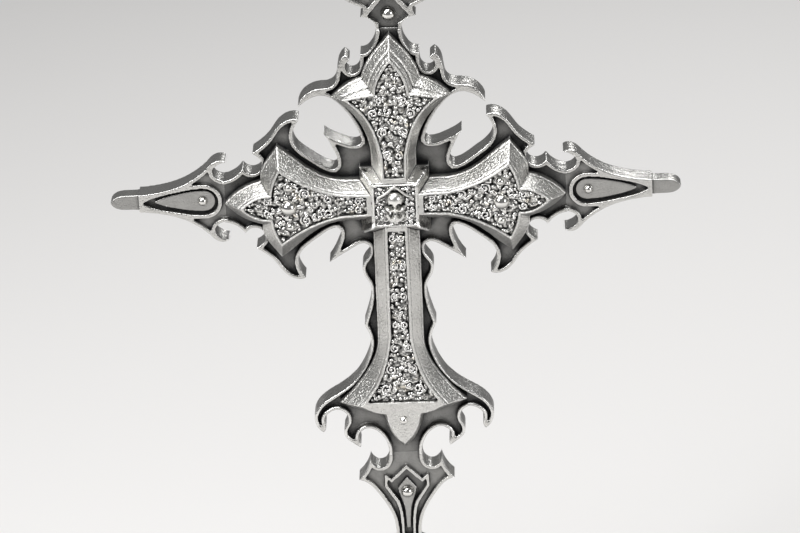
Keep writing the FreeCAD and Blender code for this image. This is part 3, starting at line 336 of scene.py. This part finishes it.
def turnedSilver(name, wear):
    # lathe-turned silver, with fine rings about the staff's axis
    surface = Surface(name)
    here = surface.add("ShaderNodeTexCoord", {}, {}, "Object")
    rings = surface.add("ShaderNodeMapping", {}, {"Vector": here, "Scale": (0.05, 0.05, 1)})
    lines = surface.grain(rings, 0.22 * mm, 2)
    broad = surface.grain(here, 14 * mm, 4)
    fine = surface.grain(here, 1.4 * mm, 4)
    edges = surface.add("ShaderNodeNewGeometry", {}, {}, "Pointiness")
    worn = surface.between(edges, 0.51, 0.57)
    shade = surface.add("ShaderNodeAmbientOcclusion", {"samples": 6}, {"Distance": 6 * mm}, "AO")
    brightShare = surface.between(shade, 0.35, 0.85) * surface.between(edges, 0.44, 0.5)
    brightShare = surface.between(brightShare + (broad - 0.5) * 0.4, 0, 0.95, kind="LINEAR")
    base = surface.blend(brightShare, tone(0.03, -0.03), tone(0.40))
    base = surface.blend(worn * brightShare * wear, base, tone(0.92, 0.01))
    base = surface.blend((1 - surface.between(fine, 0.3, 0.42)) * 0.3, base, tone(0.2))
    roughness = surface.between(brightShare, 0, 1, 0.55, 0.33) + (lines - 0.5) * 0.2
    normal = surface.add("ShaderNodeBump", {}, {"Height": lines * 0.5 + fine * 0.5, "Strength": 0.35,
                                                "Distance": 0.12 * mm})
    surface.set(Base_Color=base, Roughness=roughness, Normal=normal, Metallic=1.0)
    return surface.material


def plainMetal(name, colour, rust, roughness):
    surface = Surface(name)
    here = surface.add("ShaderNodeTexCoord", {}, {}, "Object")
    broad = surface.grain(here, 6 * mm, 5)
    fine = surface.grain(here, 0.7 * mm, 4)
    base = surface.blend(surface.between(broad, 0.4, 0.65), colour, rust)
    base = surface.blend(surface.between(fine, 0.5, 0.8) * 0.5, base, tone(0.04))
    normal = surface.add("ShaderNodeBump", {}, {"Height": fine, "Strength": 0.4, "Distance": 0.1 * mm})
    surface.set(Base_Color=base, Roughness=roughness + (broad - 0.5) * 0.3, Normal=normal,
                Metallic=surface.between(broad, 0.4, 0.7, 1.0, 0.8))
    return surface.material


turned = turnedSilver("silver_turned", 1.0)
turnedPlain = turnedSilver("silver_turned_plain", 0.0)      # for meshes with few corners
steel = plainMetal("fastener_steel", tone(0.46), tone(0.30, 0.06), 0.36)
iron = plainMetal("core_iron", tone(0.12), (0.16, 0.09, 0.06, 1), 0.6)
print("finishes ready")

# backing castings and terminals: soft cast forms

castForm = {"voxel": 0.6, "footVoxel": 0.66, "rounding": 3, "swell": 0.28, "swellSize": 5.0,
            "dents": 0.10, "dentSize": 1.6, "lap": 0.5}
jointPlaces = {"side": (36.5, 103.5), "top": (36.5, 106), "bottom": (34, 171)}
swellPattern = clouds("castSwell", castForm["swellSize"] * mm)
dentPattern = clouds("castDents", castForm["dentSize"] * mm)


def soften(piece, voxel, rounding, swell, dents):
    finishWith(piece, "REMESH", mode="VOXEL", voxel_size=voxel * mm, use_smooth_shade=True)
    if rounding:
        finishWith(piece, "SMOOTH", factor=0.5, iterations=rounding)
    for strength, pattern in ((swell, swellPattern), (dents, dentPattern)):
        if strength:
            finishWith(piece, "DISPLACE", texture=pattern, strength=strength * mm, mid_level=0.5,
                       texture_coords="LOCAL")


def kindOf(arm):
    return "side" if arm in ("right", "left") else arm


def pushJoint(piece, arm, joint, way):
    # lengthens a casting a little at a joint, so that rounding leaves no gap there
    turn = math.radians(armTurns[arm])
    outward = Vector((math.cos(turn), 0, math.sin(turn)))
    centre = Vector((0, 0, crossHeight))
    for corner in piece.data.vertices:
        if abs((corner.co - centre).dot(outward) - joint * mm) < 0.02 * mm:
            corner.co += outward * way * castForm["lap"] * mm


for arm in armTurns:
    inner, outer = jointPlaces[kindOf(arm)]
    casting = copyOf(arm + "_arm_backing", arm + "_arm_casting")
    pushJoint(casting, arm, inner, -1)
    pushJoint(casting, arm, outer, 1)
    voxel = castForm["footVoxel"] if arm == "bottom" else castForm["voxel"]
    soften(casting, voxel, castForm["rounding"], castForm["swell"], castForm["dents"])
    place(casting, "head", "dark_silver", silver["casting"], arm + "_arm_casting")
    end = copyOf(arm + "_terminal_cast", arm + "_terminal")
    pushJoint(end, arm, outer, -1)
    soften(end, 0.5, 2, 0.2, castForm["dents"])
    place(end, "head", "dark_silver", silver["terminal"], arm + "_terminal")

heart = copyOf("crossing_backing", "crossing_casting")
for arm in armTurns:
    pushJoint(heart, arm, jointPlaces[kindOf(arm)][0], 1)
soften(heart, castForm["voxel"], castForm["rounding"], castForm["swell"], castForm["dents"])
place(heart, "head", "dark_silver", silver["casting"], "crossing_casting")

for arm in ("right", "left", "bottom"):
    plate = copyOf(arm + "_insert_plate", arm + "_insert")
    soften(plate, 0.32, 4, 0.12, 0.05)
    place(plate, "head", "dark_silver", silver["terminal"], arm + "_insert")
for arm in ("right", "left"):
    point = copyOf(arm + "_tip_point", arm + "_tip")
    soften(point, 0.32, 4, 0.15, 0.06)
    place(point, "head", "bright_silver", silver["terminal"], arm + "_tip")
print("backing castings done")

# front overlays: bevelled castings with a grooved ridge line

overlayForm = {"voxel": 0.5, "rounding": 2, "pits": 0.3, "pitSize": 1.1, "grooveLevel": 29.3,
               "grooveHalf": 0.5, "groove": 0.35, "lipLevel": 20.2, "lipHalf": 0.7, "lip": 0.3,
               "archFrom": 60, "archLevel": 26.2, "archHalf": 1.0, "arch": 0.6}
pitPattern = clouds("overlayPits", overlayForm["pitSize"] * mm, "STUCCI")


def hollowLine(level, middle, half, amount):
    # how far a surface sinks near a level
    share = 1 - abs(level - middle) / half
    return amount * share * share * (3 - 2 * share) if share > 0 else 0


for arm in armTurns:
    cover = copyOf(arm + "_overlay_cast", arm + "_overlay")
    soften(cover, overlayForm["voxel"], overlayForm["rounding"], 0.2, 0)
    finishWith(cover, "DISPLACE", texture=pitPattern, strength=overlayForm["pits"] * mm, mid_level=0.5,
               texture_coords="LOCAL")
    facings = [corner.normal.copy() for corner in cover.data.vertices]
    for corner, facing in zip(cover.data.vertices, facings):
        level = (backFace - corner.co.y) / mm
        slope = -facing.y
        if 0.2 < slope < 0.97:
            sink = hollowLine(level, overlayForm["grooveLevel"], overlayForm["grooveHalf"],
                              overlayForm["groove"])
            sink += hollowLine(level, overlayForm["lipLevel"], overlayForm["lipHalf"],
                               overlayForm["lip"])
            if arm == "top" and (corner.co.z - crossHeight) / mm > overlayForm["archFrom"]:
                sink += hollowLine(level, overlayForm["archLevel"], overlayForm["archHalf"],
                                   overlayForm["arch"])
            corner.co -= facing * sink * mm
    place(cover, "head", "bright_silver", silver["overlay"], arm + "_overlay")
print("overlays done")

# filigree: pebbled ground, scrolls, petals and granules

filigreeForm = {"voxel": 0.42, "pebble": 2.7, "pebbleHeight": 2.1, "granules": 50, "leaves": 40,
                "granuleLow": 0.55, "granuleHigh": 1.45, "wireThickness": 1.3, "faceLevel": 28.6,
                "leafLow": 1.6, "leafHigh": 3.6, "clear": 0.9, "seatLift": 0.25, "lift": 0.35,
                "plateFrom": 28, "crown": 0.36, "uneven": 0.35, "unevenSize": 4, "longArmShare": 1.5}
beadPlaces = {"right": [(64, 0, 4.8), (63.5, 12.5, 2.5), (63.5, -12.5, 2.5)], "top": [],
              "left": [(64, 0, 4.8), (63.5, 12.5, 2.5), (63.5, -12.5, 2.5)], "bottom": []}


def treeOf(piece):
    return BVHTree.FromPolygons([corner.co for corner in piece.data.vertices],
                                [face.vertices for face in piece.data.polygons])


def surfaceAt(tree, point):
    # the front surface under a point, or None beside the piece
    return tree.ray_cast(Vector((point.x, -0.1, point.z)), Vector((0, 1, 0)))[0]


def scroll(along, across, size, turns, hand, start):
    # a spiral that opens outwards from its eye
    points = []
    count = int(14 * turns)
    for step in range(count + 1):
        share = step / count
        angle = start + hand * 2 * math.pi * turns * share
        radius = size * (0.18 + 0.82 * share)
        points.append((along + radius * math.cos(angle), across + radius * math.sin(angle)))
    return points


scrollPlan = {
    "side": [(22, 2.6, 2.4, 1.3, 1, 0.4), (40, 4.6, 3.2, 1.4, 1, 0.2), (54, 8.6, 3.4, 1.5, -1, 2.4),
             (77, 3.6, 2.6, 1.4, 1, 1.0)],
    "top": [(31, 3.4, 2.8, 1.4, -1, 2.2), (46, 5.8, 3.4, 1.4, 1, 0.2), (58, 11, 3.2, 1.4, 1, 0.8),
            (66, 7.0, 2.4, 1.3, -1, 0.0)],
    "bottom": [(22 + 19 * step, 2.7, 2.5, 1.35, 1 if step % 2 else -1, 0.6 + step)
               for step in range(4)]
    + [(94, 3.8, 2.9, 1.4, 1, 0.5), (108, 6.2, 3.4, 1.4, 1, 0.3), (121, 9.6, 3.6, 1.4, -1, 2.2)],
}
petalPlan = {"right": [(64, 0, 6.3, 7)], "left": [(64, 0, 6.3, 7)], "top": [(49, 0, 3.6, 6)],
             "bottom": []}


def granuleShape():
    # one small cast grain, a little flattened, that all the others are copied from
    bpy.ops.object.select_all(action="DESELECT")
    bpy.ops.mesh.primitive_uv_sphere_add(segments=8, ring_count=5, radius=1)
    first = bpy.context.object
    bpy.ops.object.mode_set(mode="EDIT")
    bpy.ops.mesh.select_all(action="SELECT")
    bpy.ops.transform.resize(value=(1, 0.8, 1))
    bpy.ops.object.mode_set(mode="OBJECT")
    bpy.ops.object.shade_smooth()
    shape = first.data.copy()
    bpy.data.objects.remove(first)
    return shape


granuleMesh = granuleShape()


def granule(centre, radius):
    grain = bpy.data.objects.new("granule", granuleMesh.copy())
    bpy.context.collection.objects.link(grain)
    turn = Matrix.Rotation(random.uniform(0, math.tau), 4, "Y")
    grain.data.transform(Matrix.Translation(centre) @ turn @ Matrix.Scale(radius, 4))
    return grain


def leafAt(centre, reach, angle):
    # a small flattened leaf, lying along an angle
    bpy.ops.object.select_all(action="DESELECT")
    bpy.ops.mesh.primitive_uv_sphere_add(segments=14, ring_count=9, radius=1.0)
    leaf = bpy.context.object
    bpy.ops.object.mode_set(mode="EDIT")
    bpy.ops.mesh.select_all(action="SELECT")
    bpy.ops.transform.resize(value=(reach * 0.62 * mm, 0.9 * mm, reach * 0.34 * mm))
    bpy.ops.object.mode_set(mode="OBJECT")
    bpy.ops.object.shade_smooth()
    leaf.data.transform(Matrix.Translation(centre) @ Matrix.Rotation(-angle, 4, "Y"))
    return leaf


def petal(arm, along, across, reach, angle):
    # a leaf pointing away from a bead
    centre = spot(arm, along + math.cos(angle) * reach, across + math.sin(angle) * reach,
                  filigreeForm["faceLevel"] + 0.3)
    return leafAt(centre, reach * 0.64, math.radians(armTurns[arm]) + angle)


def freePlaces(arm, plate, low, high, count):
    # random places on an inlay's front, away from its beads
    beads = [(spot(arm, along, across, 0), radius) for along, across, radius in beadPlaces[arm]]
    found = []
    while len(found) < count:
        point = Vector((random.uniform(low.x, high.x), 0, random.uniform(low.z, high.z)))
        under = surfaceAt(plate, point)
        if under is None or under.y > backFace - filigreeForm["plateFrom"] * mm:
            continue
        if all(math.hypot(point.x - bead.x, point.z - bead.z) > (radius + filigreeForm["clear"]) * mm
               for bead, radius in beads):
            found.append(under - Vector((0, filigreeForm["seatLift"] * mm, 0)))
    return found


for arm in armTurns:
    ground = copyOf(arm + "_filigree", arm + "_inlay")
    finishWith(ground, "REMESH", mode="VOXEL", voxel_size=filigreeForm["voxel"] * mm,
               use_smooth_shade=True)
    facings = [corner.normal.y for corner in ground.data.vertices]
    for corner, facing in zip(ground.data.vertices, facings):
        if facing < -0.4 and corner.co.y < backFace - filigreeForm["plateFrom"] * mm:
            nearest = noise.voronoi(corner.co / (filigreeForm["pebble"] * mm))[0][0]
            uneven = noise.noise(corner.co / (filigreeForm["unevenSize"] * mm)) * filigreeForm["uneven"]
            swell = filigreeForm["crown"] - nearest + uneven
            corner.co.y -= swell * filigreeForm["pebbleHeight"] * mm
    parts = [ground]
    low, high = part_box(arm + "_inlay")
    plate = treeOf(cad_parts[arm + "_inlay"])
    for along, across, size, turns, hand, start in scrollPlan[kindOf(arm)]:
        for side in (1, -1):
            points = []
            for a, b in scroll(along, across, size, turns, hand, start):
                flat = spot(arm, a, side * b, filigreeForm["faceLevel"])
                if surfaceAt(plate, flat):
                    points.append(flat - Vector((0, filigreeForm["lift"] * mm, 0)))
            if len(points) > 5:
                parts.append(wire("scroll", points, filigreeForm["wireThickness"] * mm))
    for along, across, reach, count in petalPlan[arm]:
        for number in range(count):
            parts.append(petal(arm, along, across, reach, math.tau * (number + 0.5) / count))
    more = filigreeForm["longArmShare"] if arm == "bottom" else 1
    for seat in freePlaces(arm, plate, low, high, int(filigreeForm["leaves"] * more)):
        reach = random.uniform(filigreeForm["leafLow"], filigreeForm["leafHigh"])
        parts.append(leafAt(seat, reach, random.uniform(0, math.tau)))
    for seat in freePlaces(arm, plate, low, high, int(filigreeForm["granules"] * more)):
        radius = random.uniform(filigreeForm["granuleLow"], filigreeForm["granuleHigh"]) * mm
        parts.append(granule(seat, radius))
    whole = joined(arm + "_filigree", parts)
    place(whole, "head", "filigree_silver", silver["filigree"], arm + "_inlay")
    print("filigree", arm, len(whole.data.polygons))

# beads and rivets: a dome in a rolled collar

beadForm = {"collar": 0.55, "collarReach": 1.06, "cut": 0.6, "collarBack": 0.3, "proud": 0.1,
            "size": 1.02}


def domed(name, centre, radius):
    # a dome cut off behind, sitting in a rolled ring
    bpy.ops.object.select_all(action="DESELECT")
    bpy.ops.mesh.primitive_uv_sphere_add(segments=40, ring_count=24, radius=radius, location=centre,
                                         rotation=(math.radians(90), 0, 0))
    dome = settle(bpy.context.object)
    bpy.ops.object.mode_set(mode="EDIT")
    bpy.ops.mesh.select_all(action="SELECT")
    bpy.ops.mesh.bisect(plane_co=centre + Vector((0, radius * beadForm["cut"], 0)), plane_no=(0, 1, 0),
                        use_fill=True, clear_outer=True)
    bpy.ops.object.mode_set(mode="OBJECT")
    bpy.ops.object.shade_smooth()
    thick = beadForm["collar"] * mm
    bpy.ops.object.select_all(action="DESELECT")
    bpy.ops.mesh.primitive_torus_add(location=centre + Vector((0, radius * beadForm["collarBack"], 0)),
                                     rotation=(math.radians(90), 0, 0), major_segments=40,
                                     minor_segments=10, minor_radius=thick,
                                     major_radius=radius * beadForm["collarReach"])
    ring = settle(bpy.context.object)
    bpy.ops.object.shade_smooth()
    return joined(name, [dome, ring])


def beadSet(name, node, spots):
    parts = [domed(name, centre, radius) for centre, radius in spots]
    parts.append(copyOf(name + "_shanks", node))
    whole = joined(name, parts)
    smooth(whole, 50)
    return place(whole, "head", "bright_silver", silver["bead"], node)


def beadAt(arm, along, across, radius, seat):
    return (spot(arm, along, across, seat + radius * beadForm["proud"]), radius * mm * beadForm["size"])


beadSet("arm_bead_pair", "arm_beads", [beadAt(arm, 64, 0, 4.8, 28.6) for arm in ("right", "left")])
beadSet("small_bead_set", "small_beads", [beadAt(arm, 63.5, side * 12.5, 2.5, 28.6)
                                          for arm in ("right", "left") for side in (1, -1)])
beadSet("tongue_bead_dome", "tongue_bead", [beadAt("bottom", 141, 0, 2.5, 31)])
beadSet("side_rivet_pair", "side_rivets", [beadAt(arm, 116.5, 0, 2.7, 13.2)
                                           for arm in ("right", "left")])
beadSet("top_rivet_dome", "top_rivet", [beadAt("top", 115, 0, 4.2, 11)])
beadSet("foot_rivet_dome", "foot_rivet", [beadAt("bottom", 197, 0, 3.7, 13.2)])
print("beads done")

# crossing block and skull

blockForm = {"voxel": 0.4, "rimHalf": 12.9, "rimWire": 1.1, "level": 31, "granules": 120,
             "sunkenHalf": 12.2, "sunken": 0.9, "cornerSwell": 1.6, "pebble": 2.0, "pebbleHeight": 1.4,
             "swellFrom": 19.5, "swellWidth": 4.5, "pits": 0.12, "grainHalf": 11.4, "grainLow": 0.5,
             "grainHigh": 1.2, "skullHalf": 6.2, "skullFoot": -11, "skullTop": 10}
block = copyOf("crossing_block_cast", "crossing_block")
soften(block, blockForm["voxel"], 1, 0.15, 0)
finishWith(block, "DISPLACE", texture=pitPattern, strength=blockForm["pits"] * mm, mid_level=0.5,
           texture_coords="LOCAL")
facings = [corner.normal.copy() for corner in block.data.vertices]
for corner, facing in zip(block.data.vertices, facings):
    across, rise = abs(corner.co.x) / mm, abs(corner.co.z - crossHeight) / mm
    level = (backFace - corner.co.y) / mm
    if facing.y < -0.8 and level > 30 and max(across, rise) < blockForm["sunkenHalf"]:
        nearest = noise.voronoi(corner.co / (blockForm["pebble"] * mm))[0][0]
        corner.co.y += (blockForm["sunken"] - (0.4 - nearest) * blockForm["pebbleHeight"]) * mm
    elif level > blockForm["swellFrom"]:
        # the corners swell into ridges
        nearCorner = max(0, 1 - abs(across - rise) / blockForm["swellWidth"])
        nearCorner *= min(1, (level - blockForm["swellFrom"]) / 3)
        corner.co += facing * blockForm["cornerSwell"] * nearCorner ** 2 * mm
place(block, "head", "bright_silver", silver["block"], "crossing_block")

half = blockForm["rimHalf"]
corners = [(-half, -half), (half, -half), (half, half), (-half, half)]
rimPoints = []
for (fromX, fromZ), (toX, toZ) in zip(corners, corners[1:] + corners[:1]):
    rimPoints += [spot("right", fromX + (toX - fromX) * share, fromZ + (toZ - fromZ) * share,
                       blockForm["level"] + 0.15) for share in (0.02, 0.1, 0.5, 0.9, 0.98)]
parts = [wire("block_rim", rimPoints, blockForm["rimWire"] * mm, closed=True)]
while len(parts) < blockForm["granules"]:
    x, z = [random.uniform(-blockForm["grainHalf"], blockForm["grainHalf"]) for way in range(2)]
    radius = random.uniform(blockForm["grainLow"], blockForm["grainHigh"])
    if abs(x) > blockForm["skullHalf"] or not blockForm["skullFoot"] < z < blockForm["skullTop"]:
        parts.append(granule(spot("right", x, z, blockForm["level"] - 0.3 + radius * 0.2), radius * mm))
place(joined("crossing_ground", parts), "head", "bright_silver", silver["blockGround"])

skullForm = {"voxel": 0.2, "eyeAcross": 2.4, "eyeHeight": 0.5, "eyeLevel": 35.9,
             "eyeSize": (1.65, 2.1, 4.7),
             "jawThickness": 1.5, "jawLevel": 32.6, "jawMiddle": -4.2, "jawAcross": 5.0, "jawDrop": 5.4,
             "hoodThickness": 1.5, "hoodLevel": 32.2, "cheekLean": 0.42,
             "nose": (0, -3.9, 0.5, 0.9, 35.6, 1.6)}
# across, height, half width, half height, level and depth of each mass of the head
skullMasses = {
    "cranium": (0, 4.2, 5.0, 4.9, 31.4, 4.8), "brow": (0, 1.8, 4.4, 1.7, 31.4, 4.2),
    "nose_bridge": (0, -3.6, 1.5, 3.9, 31.4, 4.7), "chin": (0, -7.7, 2.4, 2.0, 31.4, 3.4),
    "right_cheek": (3.5, -1.6, 3.2, 1.6, 31.4, 4.6), "left_cheek": (-3.5, -1.6, 3.2, 1.6, 31.4, 4.6),
}


def mass(x, z, halfWidth, halfHeight, level, depth, lean=0):
    bpy.ops.object.select_all(action="DESELECT")
    bpy.ops.mesh.primitive_uv_sphere_add(segments=32, ring_count=20, radius=mm,
                                         location=spot("right", x, z, level))
    ball = bpy.context.object
    ball.scale = (halfWidth, depth, halfHeight)
    ball.rotation_euler = (0, lean, 0)
    return settle(ball)


def arch(name, points, level, thickness):
    return wire(name, [spot("right", x, z, level) for x, z in points], thickness * mm, sides=4)


def jawLine(share):
    # an arc from cheek to cheek round the chin, for shares from 0 to 1
    angle = math.pi * (1.06 + 0.88 * share)
    return (skullForm["jawAcross"] * math.cos(angle),
            skullForm["jawMiddle"] + skullForm["jawDrop"] * math.sin(angle))


skullParts = [mass(*sizes, lean=-skullForm["cheekLean"] * ((sizes[0] > 0) - (sizes[0] < 0)))
              for sizes in skullMasses.values()]
skullParts.append(arch("jaw", [jawLine(step / 16) for step in range(17)], skullForm["jawLevel"],
                       skullForm["jawThickness"]))
hoodSide = [(10.6, 5.4), (7.6, 6.6), (4.4, 8.8), (1.8, 11.4)]
skullParts.append(arch("hood", hoodSide + [(0, 12.4)] + [(-x, z) for x, z in reversed(hoodSide)],
                       skullForm["hoodLevel"], skullForm["hoodThickness"]))
skull = joined("skull_head", skullParts)
finishWith(skull, "REMESH", mode="VOXEL", voxel_size=skullForm["voxel"] * mm, use_smooth_shade=True)
eyeWidth, eyeTall, eyeDepth = skullForm["eyeSize"]
sockets = [mass(side * skullForm["eyeAcross"], skullForm["eyeHeight"], eyeWidth, eyeTall,
                skullForm["eyeLevel"], eyeDepth) for side in (1, -1)]
hollows = joined("skull_hollows", sockets + [mass(*skullForm["nose"])])
finishWith(skull, "BOOLEAN", operation="DIFFERENCE", object=hollows, solver="EXACT")
bpy.data.objects.remove(hollows)
finishWith(skull, "REMESH", mode="VOXEL", voxel_size=skullForm["voxel"] * mm, use_smooth_shade=True)
finishWith(skull, "SMOOTH", factor=0.5, iterations=2)
place(skull, "head", "bright_silver", silver["skull"], "skull_boss")
print("crossing done")

# rear: straps and slotted screws

rearForm = {"edge": 0.35, "slotWidth": 0.9, "slotDepth": 0.8, "slotLength": 9, "firstTurn": 0.7,
            "nextTurn": 1.9,
            "screwSpots": {"side": [27, 88], "top": [27, 88], "bottom": [27, 80, 126]}}
for arm in armTurns:
    strap = copyOf(arm + "_strap_plate", arm + "_strap")
    finishWith(strap, "DECIMATE", decimate_type="DISSOLVE", angle_limit=math.radians(1.5))
    finishWith(strap, "BEVEL", width=rearForm["edge"] * mm, segments=2, limit_method="ANGLE",
               angle_limit=math.radians(50), use_clamp_overlap=True)
    smooth(strap, 22)
    place(strap, "head", "dark_silver", silver["rear"], arm + "_strap")

screwPlaces = [(arm, along) for arm in armTurns for along in rearForm["screwSpots"][kindOf(arm)]]
screwPlaces.append(("right", 0))                      # the one in the middle of the crossing
slotCutters = []
for number, (arm, along) in enumerate(screwPlaces):
    bpy.ops.object.select_all(action="DESELECT")
    bpy.ops.mesh.primitive_cube_add(size=1, location=spot(arm, along, 0, 0))
    cutter = bpy.context.object
    cutter.scale = (rearForm["slotLength"] * mm, 2 * rearForm["slotDepth"] * mm,
                    rearForm["slotWidth"] * mm)
    cutter.rotation_euler = (0, rearForm["firstTurn"] + rearForm["nextTurn"] * number, 0)
    slotCutters.append(settle(cutter))
slots = joined("slot_cutters", slotCutters)
screws = copyOf("rear_screw_set", "rear_screws")
finishWith(screws, "BOOLEAN", operation="DIFFERENCE", object=slots, solver="EXACT")
bpy.data.objects.remove(slots)
smooth(screws, 35)
place(screws, "head", "fastener_steel", steel, "rear_screws")
print("rear done")

# knop, collars and socket

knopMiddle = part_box("knop_upper")[0].z
knopForm = {"lobes": 12, "lobeDepth": 1.5, "segments": 192, "rings": 72, "halfHeight": 24,
            "lobesFrom": 0.16, "lobesTo": 0.93, "startEase": 0.12, "endEase": 0.15, "twist": 0.9,
            "hollowing": 0.7}


def knopHalf(name, node, side):
    # one half of the lobed ball, above (1) or below (-1) its middle
    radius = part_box(node)[1].x
    bpy.ops.object.select_all(action="DESELECT")
    bpy.ops.mesh.primitive_uv_sphere_add(segments=knopForm["segments"], ring_count=knopForm["rings"],
                                         radius=1, location=(0, 0, knopMiddle))
    half = bpy.context.object
    half.scale = (radius, radius, knopForm["halfHeight"] * mm)
    settle(half)
    for corner in half.data.vertices:
        around = math.atan2(corner.co.y, corner.co.x)
        rise = abs(corner.co.z - knopMiddle) / (knopForm["halfHeight"] * mm)
        amount = min(1, max(0, (rise - knopForm["lobesFrom"]) / knopForm["startEase"]))
        amount *= min(1, max(0, (knopForm["lobesTo"] - rise) / knopForm["endEase"]))
        wave = math.sin(knopForm["lobes"] * (around + knopForm["twist"] * rise) / 2)
        lobe = 1 - abs(wave) ** knopForm["hollowing"]
        shrink = 1 - amount * lobe * knopForm["lobeDepth"] * mm / radius
        corner.co.x *= shrink
        corner.co.y *= shrink
    bpy.ops.object.mode_set(mode="EDIT")
    for cutAt, facing in ((knopMiddle, -side), (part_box(node)[1 if side > 0 else 0].z, side)):
        bpy.ops.mesh.select_all(action="SELECT")
        bpy.ops.mesh.bisect(plane_co=(0, 0, cutAt), plane_no=(0, 0, facing), use_fill=True,
                            clear_outer=True)
    bpy.ops.object.mode_set(mode="OBJECT")
    smooth(half, 50)
    half.name = name
    return place(half, "head", "turned_silver", turned, node)


knopHalf("knop_lower_lobed", "knop_lower", -1)
knopHalf("knop_upper_lobed", "knop_upper", 1)

bandForm = {"edge": 0.5}
for node in ("foot_collar", "knop_band", "clamp_boss", "knop_bosses"):
    turnedPiece = copyOf(node + "_dressed", node)
    finishWith(turnedPiece, "DECIMATE", decimate_type="DISSOLVE", angle_limit=math.radians(1))
    finishWith(turnedPiece, "BEVEL", width=bandForm["edge"] * mm, segments=2, limit_method="ANGLE",
               angle_limit=math.radians(50), use_clamp_overlap=True)
    smooth(turnedPiece, 25)
    bright = node == "knop_bosses"
    place(turnedPiece, "head", "bright_silver" if bright else "turned_silver", turned, node)

wings = copyOf("thumbscrew_wings", "thumbscrew")
soften(wings, 0.3, 3, 0, 0)
place(wings, "screw", "turned_silver", turned, "thumbscrew")

for node, finish in {"staff_socket": turnedPlain, "lower_collar": turnedPlain,
                     "mouth_ring": turnedPlain,
                     "tang_pin": steel, "clamp_pad": steel, "core_crossbar": iron,
                     "core_upright": iron}.items():
    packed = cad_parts[node]
    packed.data.materials.clear()
    packed.data.materials.append(finish)

ringForm = {"heights": [70.5, 66.5, 14, 10.5], "thickness": 1.1, "beadsHeight": 68.5, "beads": 44,
            "beadRadius": 1.0}
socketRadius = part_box("staff_socket")[1].x
rings = []
for height in ringForm["heights"]:
    bpy.ops.object.select_all(action="DESELECT")
    bpy.ops.mesh.primitive_torus_add(location=(0, 0, height * mm), major_segments=96, minor_segments=12,
                                     major_radius=socketRadius,
                                     minor_radius=ringForm["thickness"] / 2 * mm)
    bpy.ops.object.shade_smooth()
    rings.append(settle(bpy.context.object))
for number in range(ringForm["beads"]):
    around = math.tau * number / ringForm["beads"]
    rings.append(granule(Vector((socketRadius * math.cos(around), socketRadius * math.sin(around),
                                 ringForm["beadsHeight"] * mm)), ringForm["beadRadius"] * mm))
place(joined("socket_rings", rings), "head", "turned_silver", turned)
print("knop and socket done")

# floor, light and camera

stageForm = {"floor": 9.0, "worldTone": 0.50, "worldStrength": 0.35}
bpy.context.scene.view_settings.view_transform = "Standard"
floorSurface = Surface("pale_floor")
floorPlace = floorSurface.add("ShaderNodeTexCoord", {}, {}, "Object")
mottle = floorSurface.grain(floorPlace, 0.4, 2)
floorTone = floorSurface.blend(mottle * 0.15, (0.80, 0.79, 0.78, 1), (0.72, 0.71, 0.70, 1))
floorSurface.set(Base_Color=floorTone, Roughness=0.85)
bpy.ops.object.select_all(action="DESELECT")
bpy.ops.mesh.primitive_plane_add(size=stageForm["floor"], location=(0, 2, -0.0005))
floor = settle(bpy.context.object)
floor.name = "floor"
floor.data.materials.append(floorSurface.material)

world = bpy.data.worlds.new("studio")
bpy.context.scene.world = world
world.use_nodes = True
background = world.node_tree.nodes["Background"]
background.inputs["Color"].default_value = (*[stageForm["worldTone"]] * 3, 1)
background.inputs["Strength"].default_value = stageForm["worldStrength"]

lights = {
    "overhead": ((-0.25, -0.35, 2.1), 1.3, 30),
    "key": ((-1.5, -1.3, 1.6), 0.9, 24),
    "fill": ((1.7, -1.2, 0.9), 0.8, 9),
    "back": ((0.7, 1.5, 1.7), 0.8, 14),
}
aim = Vector((0, 0, crossHeight))
for name, (at, width, power) in lights.items():
    bpy.ops.object.light_add(type="AREA", location=at)
    lamp = bpy.context.object
    lamp.name = name
    lamp.data.size = width
    lamp.data.energy = power
    lamp.rotation_euler = (aim - Vector(at)).to_track_quat("-Z", "Y").to_euler()

cameraForm = {"azimuth": 1.5, "elevation": 22, "lean": 2.35, "lens": 200, "width": 480,
              "besideMiddle": -3.0, "aboveMiddle": 36.6, "aimLevel": 31}
azimuth, elevation = math.radians(cameraForm["azimuth"]), math.radians(cameraForm["elevation"])
back = Vector((math.sin(azimuth) * math.cos(elevation), -math.cos(azimuth) * math.cos(elevation),
               math.sin(elevation)))
sideways = Vector((math.cos(azimuth), math.sin(azimuth), 0))
upwards = back.cross(sideways)
lean = math.radians(cameraForm["lean"])
cameraRight = sideways * math.cos(lean) - upwards * math.sin(lean)
cameraUp = upwards * math.cos(lean) + sideways * math.sin(lean)
aimPoint = Vector((0, backFace - cameraForm["aimLevel"] * mm, crossHeight))
aimPoint -= cameraRight * cameraForm["besideMiddle"] * mm + cameraUp * cameraForm["aboveMiddle"] * mm
bpy.ops.object.camera_add()
camera = bpy.context.object
camera.data.lens = cameraForm["lens"]
camera.data.sensor_width = 36
distance = cameraForm["width"] * mm * cameraForm["lens"] / 36
turnTo = Matrix((cameraRight, cameraUp, back)).transposed()
camera.matrix_world = Matrix.Translation(aimPoint + back * distance) @ turnTo.to_4x4()
camera.data.clip_start = 0.05
bpy.context.scene.camera = camera
print("stage ready")
